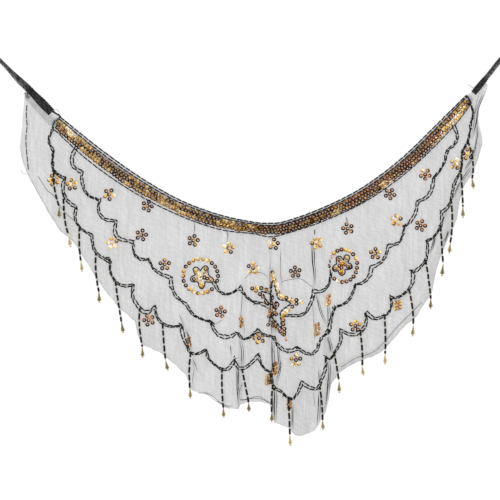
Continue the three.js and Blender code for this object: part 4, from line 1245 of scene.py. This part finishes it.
# ---- Rosettes: five sequins round one. x, y, angle of the first, tones outer then centre ----
ROSETTES = [
    (-196.4, 70, 110, "ggggg", "g"), (-178.2, 65.5, 100, "ggbbg", "w"),
    (-140.7, 55.5, 60, "dbgdw", "b"), (-102.5, 44, 70, "ddbdd", "b"),
    (-137.5, 7, 100, "gwwwg", "w"), (-108.5, 15, 75, "dbbdd", "b"),
    (-85.2, -14.5, 90, "gbdbd", "b"), (-56.6, 9.5, 75, "dddbd", "b"),
    (-21.5, 2, 85, "gwwbg", "g"), (-101.3, -70, 110, "ccbcb", "c"),
    (-29.7, -62, 80, "cbccb", "b"), (3, -18, 85, "gdggw", "b"),
    (23.5, 6, 85, "bwgdd", "g"), (45.2, -22, 95, "ddbdd", "d"),
    (66.5, 7, 110, "ggggg", "g"), (9, -88, 105, "gggcg", "d"),
    (97.6, 21.5, 105, "bbdbb", "b"), (125.2, -3.5, 88, "bbdbg", "b"),
    (139.8, 56, 60, "dbdbb", "d"), (146.3, 30, 90, "gwggb", "w"),
    (170.5, 24.5, 70, "cbbcb", "c"), (175, 75.5, 55, "cwbcc", "c"),
    (205.8, 86, 75, "wggbw", "w"), (217.7, 96, 100, "gcgcb", "g"),
    (105.3, -75.8, 90, "gbcbg", "b"), (46, -110, 90, "ggggd", "d"),
]
# Rosettes that lie in a fold and show from the side: x, y, length, width, tones.
FOLDED = [
    (-61.5, -92, 11, 3.8, "f"), (-8.4, -71.7, 11.5, 4, "f"), (67, -79.2, 13, 5.8, "f"),
    (78.5, -49.8, 11.5, 4.6, "f"), (25, -118.4, 12.5, 5.2, "f"), (18.4, -129.2, 11, 6.4, "ff"),
    (39.4, -153.5, 11.5, 5.4, "f"), (147.5, -55, 10.5, 8, "ffg"),
]
# Single sequins of the star: x, y, tone.
STAR_SPOTS = [
    (22.7, -22.3, "b"), (22.3, -25.3, "g"), (23.3, -27.7, "w"), (24, -29.6, "g"),
    (25.7, -32, "w"), (26.6, -34, "w"), (27, -36, "w"), (27.8, -39, "w"), (28.3, -41.7, "g"),
    (29.4, -44, "w"), (31.3, -46.3, "w"), (33.8, -47.2, "w"), (36.3, -47.7, "b"),
    (38.6, -48.4, "w"), (40.7, -49.3, "g"), (42.4, -50.6, "w"), (46.3, -50, "d"),
    (46.3, -53.7, "d"), (51, -51.7, "w"), (42.3, -56.7, "d"), (39.6, -58.4, "w"),
    (38, -59.7, "w"), (36, -61, "w"), (34.6, -62.6, "w"), (33.4, -65.8, "g"), (33.2, -70.2, "b"),
    (33.2, -74, "b"), (34.3, -78.7, "c"), (34.3, -82, "c"), (34, -84.5, "b"),
    (2.3, -38.3, "d"), (7, -37.7, "g"), (6, -40.7, "g"), (11.3, -38, "d"), (10, -44, "d"),
    (13, -47, "b"),
]
# Sequins on edge, where the star is caught in the pleat: x, y, tone.
STAR_PLEAT = [
    (14.7, -39.3, "f"), (16.5, -39.6, "c"), (18, -40, "f"), (15.3, -50.7, "c"),
    (17.7, -53.3, "f"), (22.7, -48, "c"), (22.3, -50.7, "f"), (21.7, -53, "c"), (26, -54, "c"),
    (24.4, -57, "f"), (24.6, -60, "c"), (25.2, -62.8, "f"), (26.4, -64.4, "c"), (26.2, -57.4, "c"),
    (22.4, -56.6, "c"), (22.8, -60.6, "f"), (22.4, -64.2, "c"), (20, -58, "f"), (20, -60.5, "c"),
    (19.7, -63.3, "f"), (20.6, -66, "c"), (18.7, -67, "f"), (18.6, -70.6, "f"),
    (18, -74.3, "c"), (21.7, -72.7, "c"), (23.6, -71.4, "f"), (24.3, -74, "c"),
    (22.8, -75.6, "f"), (25.6, -76, "c"), (27.3, -77.3, "f"), (20.3, -33.4, "f"),
    (20.4, -36.2, "c"), (29, -79.6, "c"), (30.3, -81.3, "f"), (32, -83.4, "c"), (35.7, -89, "f"),
]
# Bead outlines of the star's arms.
STAR_BEADS = [
    [(22.3, -30.7), (21.7, -36.7), (20.7, -43.3), (20.3, -50), (21, -55)],
    [(24.3, -34.7), (26.3, -42), (27.7, -47.3), (30.3, -50), (35.7, -50.3), (41, -53),
     (37.7, -56), (32.3, -60), (29.7, -63.3), (30.7, -67.3), (31, -73.3), (31.7, -80)],
    [(11.3, -41.3), (17, -42.7), (21, -44), (23.7, -47)],
    [(13.3, -44), (15, -48), (18.3, -53.3), (20.7, -56)],
    [(25, -51.3), (28.3, -52.7), (29, -55.3), (27, -58)],
    [(21.7, -62), (20.7, -65.3), (23, -68.7), (27.3, -73.3), (30.3, -77.3), (32.3, -80)],
]
# Rings of sequins: x, y, radius across and down, angle of the first, places left out, tones.
RINGS = [
    (-49.4, -26, 17.4, 17.2, 0, (20,), "ddddggggbbggddgggggddd"),
    (92.9, -15.7, 14.2, 16.3, 10, (12,), "cgdggdbgfccccbwccdbbc"),
]
# Petal flowers: outline of black beads, and sequins inside it as x, y, tone.
FLOWERS = [
    ("flower_left", [
        (-45, -31.8), (-45.8, -36.5), (-48.3, -38.8), (-50.8, -36.5), (-52.2, -32),
        (-57, -31.8), (-59.4, -30), (-58.6, -27), (-56, -25.4), (-54.6, -24.8), (-56, -22),
        (-56.8, -19), (-54.5, -17), (-52, -18), (-49.5, -20.5), (-47.5, -17.5), (-44.5, -15.8),
        (-41.8, -17.8), (-42, -22), (-40.5, -26), (-37.4, -28), (-36.2, -30.6), (-39, -32.2)],
     [(-53.8, -20.2, "g"), (-52.4, -23.4, "g"), (-50.2, -24.4, "w"), (-49.6, -27.6, "w"),
      (-44.4, -19, "b"), (-45.4, -21.8, "g"), (-45.2, -24.6, "g"), (-56, -29, "b"),
      (-53.4, -28.6, "w"), (-51.4, -29, "w"), (-48, -31.4, "w"), (-48.2, -33.6, "w"),
      (-48.4, -36, "g"), (-39.6, -29.4, "g"), (-42.8, -28.4, "d"), (-45.4, -27.6, "d"),
      (-48.2, -28, "c")]),
    ("flower_right", [
        (86.4, -14), (86.2, -10.4), (86.4, -7.6), (88.2, -6.2), (90.6, -6.6), (92.2, -8.4),
        (93.6, -10), (94, -7.2), (94.8, -5.6), (96.6, -4.8), (98.6, -5.6), (99.6, -7.6),
        (98.8, -10.4), (98, -12.8), (100.4, -13.6), (101.8, -15.6), (102, -18), (100, -19),
        (97, -19.6), (94.8, -19.4), (95, -22.4), (93.2, -25), (90.8, -25.2), (89, -23.2),
        (87.8, -20.4), (85.8, -21.4), (83.6, -21), (82.4, -19.6), (82.6, -17.4), (84, -15.4)],
     [(88.4, -9.4, "c"), (89.8, -10.8, "c"), (91.8, -12.6, "g"), (96.6, -7.8, "g"),
      (96.4, -10.6, "g"), (94.8, -14.4, "g"), (92.8, -13.8, "g"), (98, -16.8, "b"),
      (100, -17, "b"), (89.2, -15.6, "c"), (86.6, -18.2, "g"), (84.8, -18.6, "c"),
      (91.4, -17.6, "c"), (91.4, -20.4, "g"), (92.2, -22.6, "w"), (90.6, -22.4, "g")]),
]
# A rosette's sequins lie this far from its middle one. Lifts are over the net's top.
ROSETTE = 4.5
LIFT, TOP_LIFT = 0.35, 0.8
# How far the right ring's left side is turned on edge, in radians, in the pleat beside it.
ON_EDGE = 0.95


def make_sequins():
    """Rosettes, rings and folded rosettes, each on the net's top."""
    heap = Heap()
    for x, y, turn, outer, middle in ROSETTES:
        for k, tone in enumerate(outer):
            angle = math.radians(turn + 72 * k)
            px, py = x + ROSETTE * math.cos(angle), y + ROSETTE * math.sin(angle)
            put_sequin(heap, px, py, net_height(px, py) + LIFT, tone)
        put_sequin(heap, x, y, net_height(x, y) + TOP_LIFT, middle)
    for x, y, long, wide, tones in FOLDED:
        columns = 3 if wide > 5 else 2
        for k in range(3 * columns):
            # Sequins half on edge, close together in the fold.
            share = (k % columns) / (columns - 1) - 0.5
            px = x + share * (wide - 3.2) + random.gauss(0, 0.25)
            py = y + (k // columns / 2 - 0.5 + 0.2 * share) * (long - 4.2)
            put_sequin(heap, px, py, net_height(px, py) + TOP_LIFT, random.choice(tones),
                       radius=SMALL_SEQUIN, lean=(0, 1.2 * share), loose=0.2)
    for x, y, across, down, turn, absent, tones in RINGS:
        for k, tone in enumerate(tones):
            if k in absent:
                continue
            angle = math.radians(turn) + 2 * math.pi * k / len(tones)
            px, py = x + across * math.cos(angle), y + down * math.sin(angle)
            turned = ON_EDGE if x > 0 and px < x - 11 else 0.0
            put_sequin(heap, px, py, net_height(px, py) + LIFT + 1.2 * turned, tone,
                       lean=(0, turned))
    return heap.build("rosette_sequins", sequin_film, "sequins")


make_sequins()


def make_star():
    """The star: flat sequins, tilted ones in its pleat, and bead outlines."""
    left, right, black, pale = Heap(), Heap(), Heap(), Heap()
    for x, y, tone in STAR_SPOTS:
        heap = left if x < 21 and y > -52 else right
        put_sequin(heap, x, y, clear_height(x, y) + 0.5, tone)
    for x, y, tone in STAR_PLEAT:
        put_sequin(right, x, y, clear_height(x, y) + 0.6, tone,
                   lean=(0, random.choice((-1, 1)) * 0.7), loose=0.25)
    for points in STAR_BEADS:
        path = smooth(points, 40)
        heights = np.array([clear_height(x, y) for x, y in path]) + 1.3
        string_beads(np.column_stack([path, heights]), black, pale, bugle=3.4, wide=1.7)
    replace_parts(left.build("star_left_sequins", sequin_film, "sequins"), "star_left")
    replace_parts(right.build("star_right_sequins", sequin_film, "sequins"), "star_right")
    black.build("star_bugles", black_glass, "beads")
    pale.build("star_seeds", champagne_glass, "pearls")


make_star()


def make_flower(name, outline, fill):
    """Petals outlined in black beads and filled with sequins."""
    gold, black = Heap(), Heap()
    z = NET_WALL + SEAM_GAP + 0.8
    loop = smooth(outline + outline[:1], 8 * len(outline))
    for far in np.arange(0.3, lengths(loop)[-1], 1.3):
        black.put(ROUND, (*at(loop, far), z + 0.5), np.eye(3), (0.78, 0.78, 0.7), BLACKS[0],
                  random.choice(BLACKS))
    for k, (x, y, tone) in enumerate(fill):
        put_sequin(gold, x, y, z + 0.15 + 0.1 * (k % 4), tone, radius=SMALL_SEQUIN)
    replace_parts(gold.build(name + "_sequins", sequin_film, "sequins"), name)
    black.build(name + "_beads", black_glass, "beads")


for flower in FLOWERS:
    make_flower(*flower)

# ---- Ties ----
TAPE_WIDE = 10
# The tape is sewn to this far past its third section, and comes free over this last stretch.
SEWN_PAST, COMES_FREE = 8, 5.3
# Tones of the lower layer from its edge inwards and of the lap, and of both where they are sewn.
LOWER_TONES = [np.array(hexed(code)) for code in ("#626262", "#464646", "#2a2a2a")]
LAP_TONE = np.array(hexed("#343333"))
SEWN_LOWER_TONE = np.array(hexed("#201f1f"))
SEWN_LAP_TONE = np.array(hexed("#1e1d1d"))


def make_tie(name, sections):
    """Tape folded along its length: a lower layer and a narrower one lapped over it."""
    table = np.array(sections, float)
    dense = smooth(table, 120)
    aside = sides(dense)
    # The lap lies on the upper side of both ties.
    facing = -1 if name == "tie_right" else 1
    points, tones, uvs = [], [], []
    far = lengths(dense[:, :2])
    sewn_end = lengths(table[:, :2])[2] + SEWN_PAST
    for k, (x, y, width, on_net) in enumerate(dense):
        on_net = min(max(on_net, 0), 1)
        base = on_net * (NET_WALL + SEAM_GAP) + 0.15
        wave = 0.2 * math.sin(far[k] / 9)
        sewn = min(max((sewn_end - far[k]) / COMES_FREE, 0), 1)
        rough = 0.25 * math.sin(far[k] * 2.3) + 0.2 * math.sin(far[k] * 5.1)
        half = width * (0.5 + 0.03 * math.sin(far[k] / 5.3)) + rough * (0.15 + 0.5 * sewn)
        lap = half * sewn + (1 - sewn) * (-0.05 * half + wave)
        lap_tone = LAP_TONE + (SEWN_LAP_TONE - LAP_TONE) * sewn
        # Lower layer, the fold at the upper side, the lap over it and its turned-in edge.
        section = [(-half, 0.15), (-half * 0.45, 0.3), (half * 0.3, 0.2), (half - 0.25, 0.2),
                   (half, 0.5), (half - 0.25, 0.85), (half * 0.5, 1.1), (-lap, 0.95),
                   (-lap - 0.15, 0.7), (half * 0.3, 0.55), (half - 0.6, 0.5)]
        for j, (across, up) in enumerate(section):
            move = aside[k] * across * facing
            points.append((x - move[0], y - move[1], base + up))
            lower = LOWER_TONES[min(j, 2)]
            lower = lower + (SEWN_LOWER_TONE - lower) * sewn
            tones.append(lap_tone if j >= 4 else lower)
            uvs.append((far[k] / TAPE_WIDE, across / TAPE_WIDE))
    wide = len(section)
    loops, sizes = [], []
    for k in range(len(dense) - 1):
        for j in range(wide - 1):
            a = k * wide + j
            loops += [a, a + wide, a + wide + 1, a + 1]
            sizes.append(4)
    piece = mesh_piece(name + "_tape", np.array(points), loops, sizes, woven_tape,
                       tones=np.array(tones))
    layer = piece.data.uv_layers.new(name="strip")
    for loop in piece.data.loops:
        layer.data[loop.index].uv = uvs[loop.vertex_index]
    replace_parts(piece, name)
    # The sewn end is turned back on itself, so that much more was cut.
    return piece, far[-1] + sewn_end


ties = [make_tie(name, sections) for name, sections in TIES.items()]

# ---- Sewing: stitches, hem lines and loose threads ----
# The first thread is a row of stitches: how long, and how far apart.
STITCH, STITCH_GAP = 6.4, 0.9
# The curve's own radius. Each thread's is a share of it.
THREAD_RADIUS = 0.25
# Radius, lift over the net, points.
THREADS = [
    (0.52, 0.3, [(-223, 145), (-223.6, 134), (-222.8, 124), (-224, 108), (-221.5, 80)]),
    (0.24, 0.2, [(-212, 74), (-203, 60), (-196, 54), (-187, 40), (-177, 30)]),
    (0.24, 0.2, [(-10, -149.7), (-1.7, -148.8), (7.7, -146.4), (14.2, -149.2),
                 (20.8, -153.4)]),
    (0.2, 0.2, [(-44, -143), (-34, -151), (-26, -155), (-17.5, -156.2)]),
    (0.22, 0.2, [(91, -117), (106, -108), (126, -100), (149, -75), (172, -52)]),
    (0.25, 0.2, [(-196, 139), (-190, 133)]),
    (0.2, 0.3, [(-5, -28.7), (-1, -24.5), (3, -22.4), (9, -22.3), (14.3, -24), (17, -27)]),
    (0.2, 0.3, [(31.7, -32), (36.3, -30.3), (43.7, -29), (50.3, -28.7), (55, -31.3),
                (61.7, -36.7)]),
    (0.9, 0.9, [(-199, 139.6), (-194.5, 136.8), (-190, 134.2)]),
    (0.4, 0.5, [(-226, 156), (-223.5, 157.5), (-221, 155), (-223, 153.5)]),
    (0.3, 0.5, [(-224.5, 153), (-221, 152.4), (-219, 154.5)]),
    (0.2, 0.3, [(-55, 28), (-56, 17)]),
    (0.2, 0.3, [(-22, 19), (-23, 8)]),
    (0.25, 0.3, [(65, 21), (64.6, 15)]),
    (0.25, 0.3, [(96, 33), (97.4, 28)]),
    (0.2, 0.3, [(-150, 50), (-147, 52)]), (0.2, 0.3, [(-116, 9), (-113, 11)]),
    (0.2, 0.3, [(-28, -70), (-34, -74)]),
    (0.2, 0.6, [(-196, 139), (-193, 141), (-191, 138)]),
    (0.2, 0.3, [(-229, 80), (-227, 76), (-223, 76)]),
    (0.2, 0.3, [(218, 166), (221, 163), (224, 162)]),
    (0.18, 0.2, [(-51, -143), (-41, -143.6), (-30, -152.5), (-21, -157.5)]),
    (0.18, 0.2, [(-8, -150.5), (2, -148.5), (11, -149), (19, -152.5)]),
]


def make_threads():
    """All sewing thread as one curve: a row of stitches, hem lines and loose ends."""
    curve = bpy.data.curves.new("stitches", "CURVE")
    curve.dimensions = "3D"
    curve.bevel_depth = THREAD_RADIUS * MM
    curve.bevel_resolution = 1
    curve.use_fill_caps = True
    for k, (radius, lift, points) in enumerate(THREADS):
        path = drawn(points, 10)
        total = lengths(path)[-1]
        spans = [(0, total)]
        if k == 0:
            spans = [(far, min(far + STITCH, total))
                     for far in np.arange(0, total - 1, STITCH + STITCH_GAP)]
        for start, end in spans:
            spots = at(path, np.linspace(start, end, max(3, int((end - start) / 2.5))))
            spline = curve.splines.new("POLY")
            spline.points.add(len(spots) - 1)
            heights = net_height(spots[:, 0], spots[:, 1]) + lift
            for point, place in zip(spline.points, to_frame(np.column_stack([spots, heights]))):
                point.co = (*place, 1)
                point.radius = radius / THREAD_RADIUS
    return piece_from("stitches", curve, black_thread)


stitches = make_threads()

# ---- Floor and soft studio light ----
bpy.ops.mesh.primitive_plane_add(size=6, location=(0, 0, -0.0002))
floor = bpy.context.object
floor.name = "floor"
floor_finish = Finish("pale_floor")
floor_finish.set(Base_Color=hexed("#a8a8a8"), Roughness=1.0, Specular_IOR_Level=0.0,
                 Emission_Color=hexed("#ffffff"), Emission_Strength=0.68)
floor.data.materials.append(floor_finish.material)

world = bpy.data.worlds.new("studio")
world.use_nodes = True
world.node_tree.nodes["Background"].inputs["Color"].default_value = (1, 1, 1, 1)
world.node_tree.nodes["Background"].inputs["Strength"].default_value = 0.9
bpy.context.scene.world = world
bpy.context.scene.view_settings.view_transform = "Standard"


def soft_lamp(name, place, size, watts):
    """A square lamp turned to the middle of the table."""
    data = bpy.data.lights.new(name, "AREA")
    data.size = size
    data.energy = watts
    lamp = bpy.data.objects.new(name, data)
    lamp.location = place
    lamp.rotation_euler = (-Vector(place)).to_track_quat("-Z", "Y").to_euler()
    bpy.context.collection.objects.link(lamp)


soft_lamp("key", (-1.1, 0.9, 1.7), 0.9, 9)
soft_lamp("fill", (1.2, -0.6, 1.6), 1.4, 4)
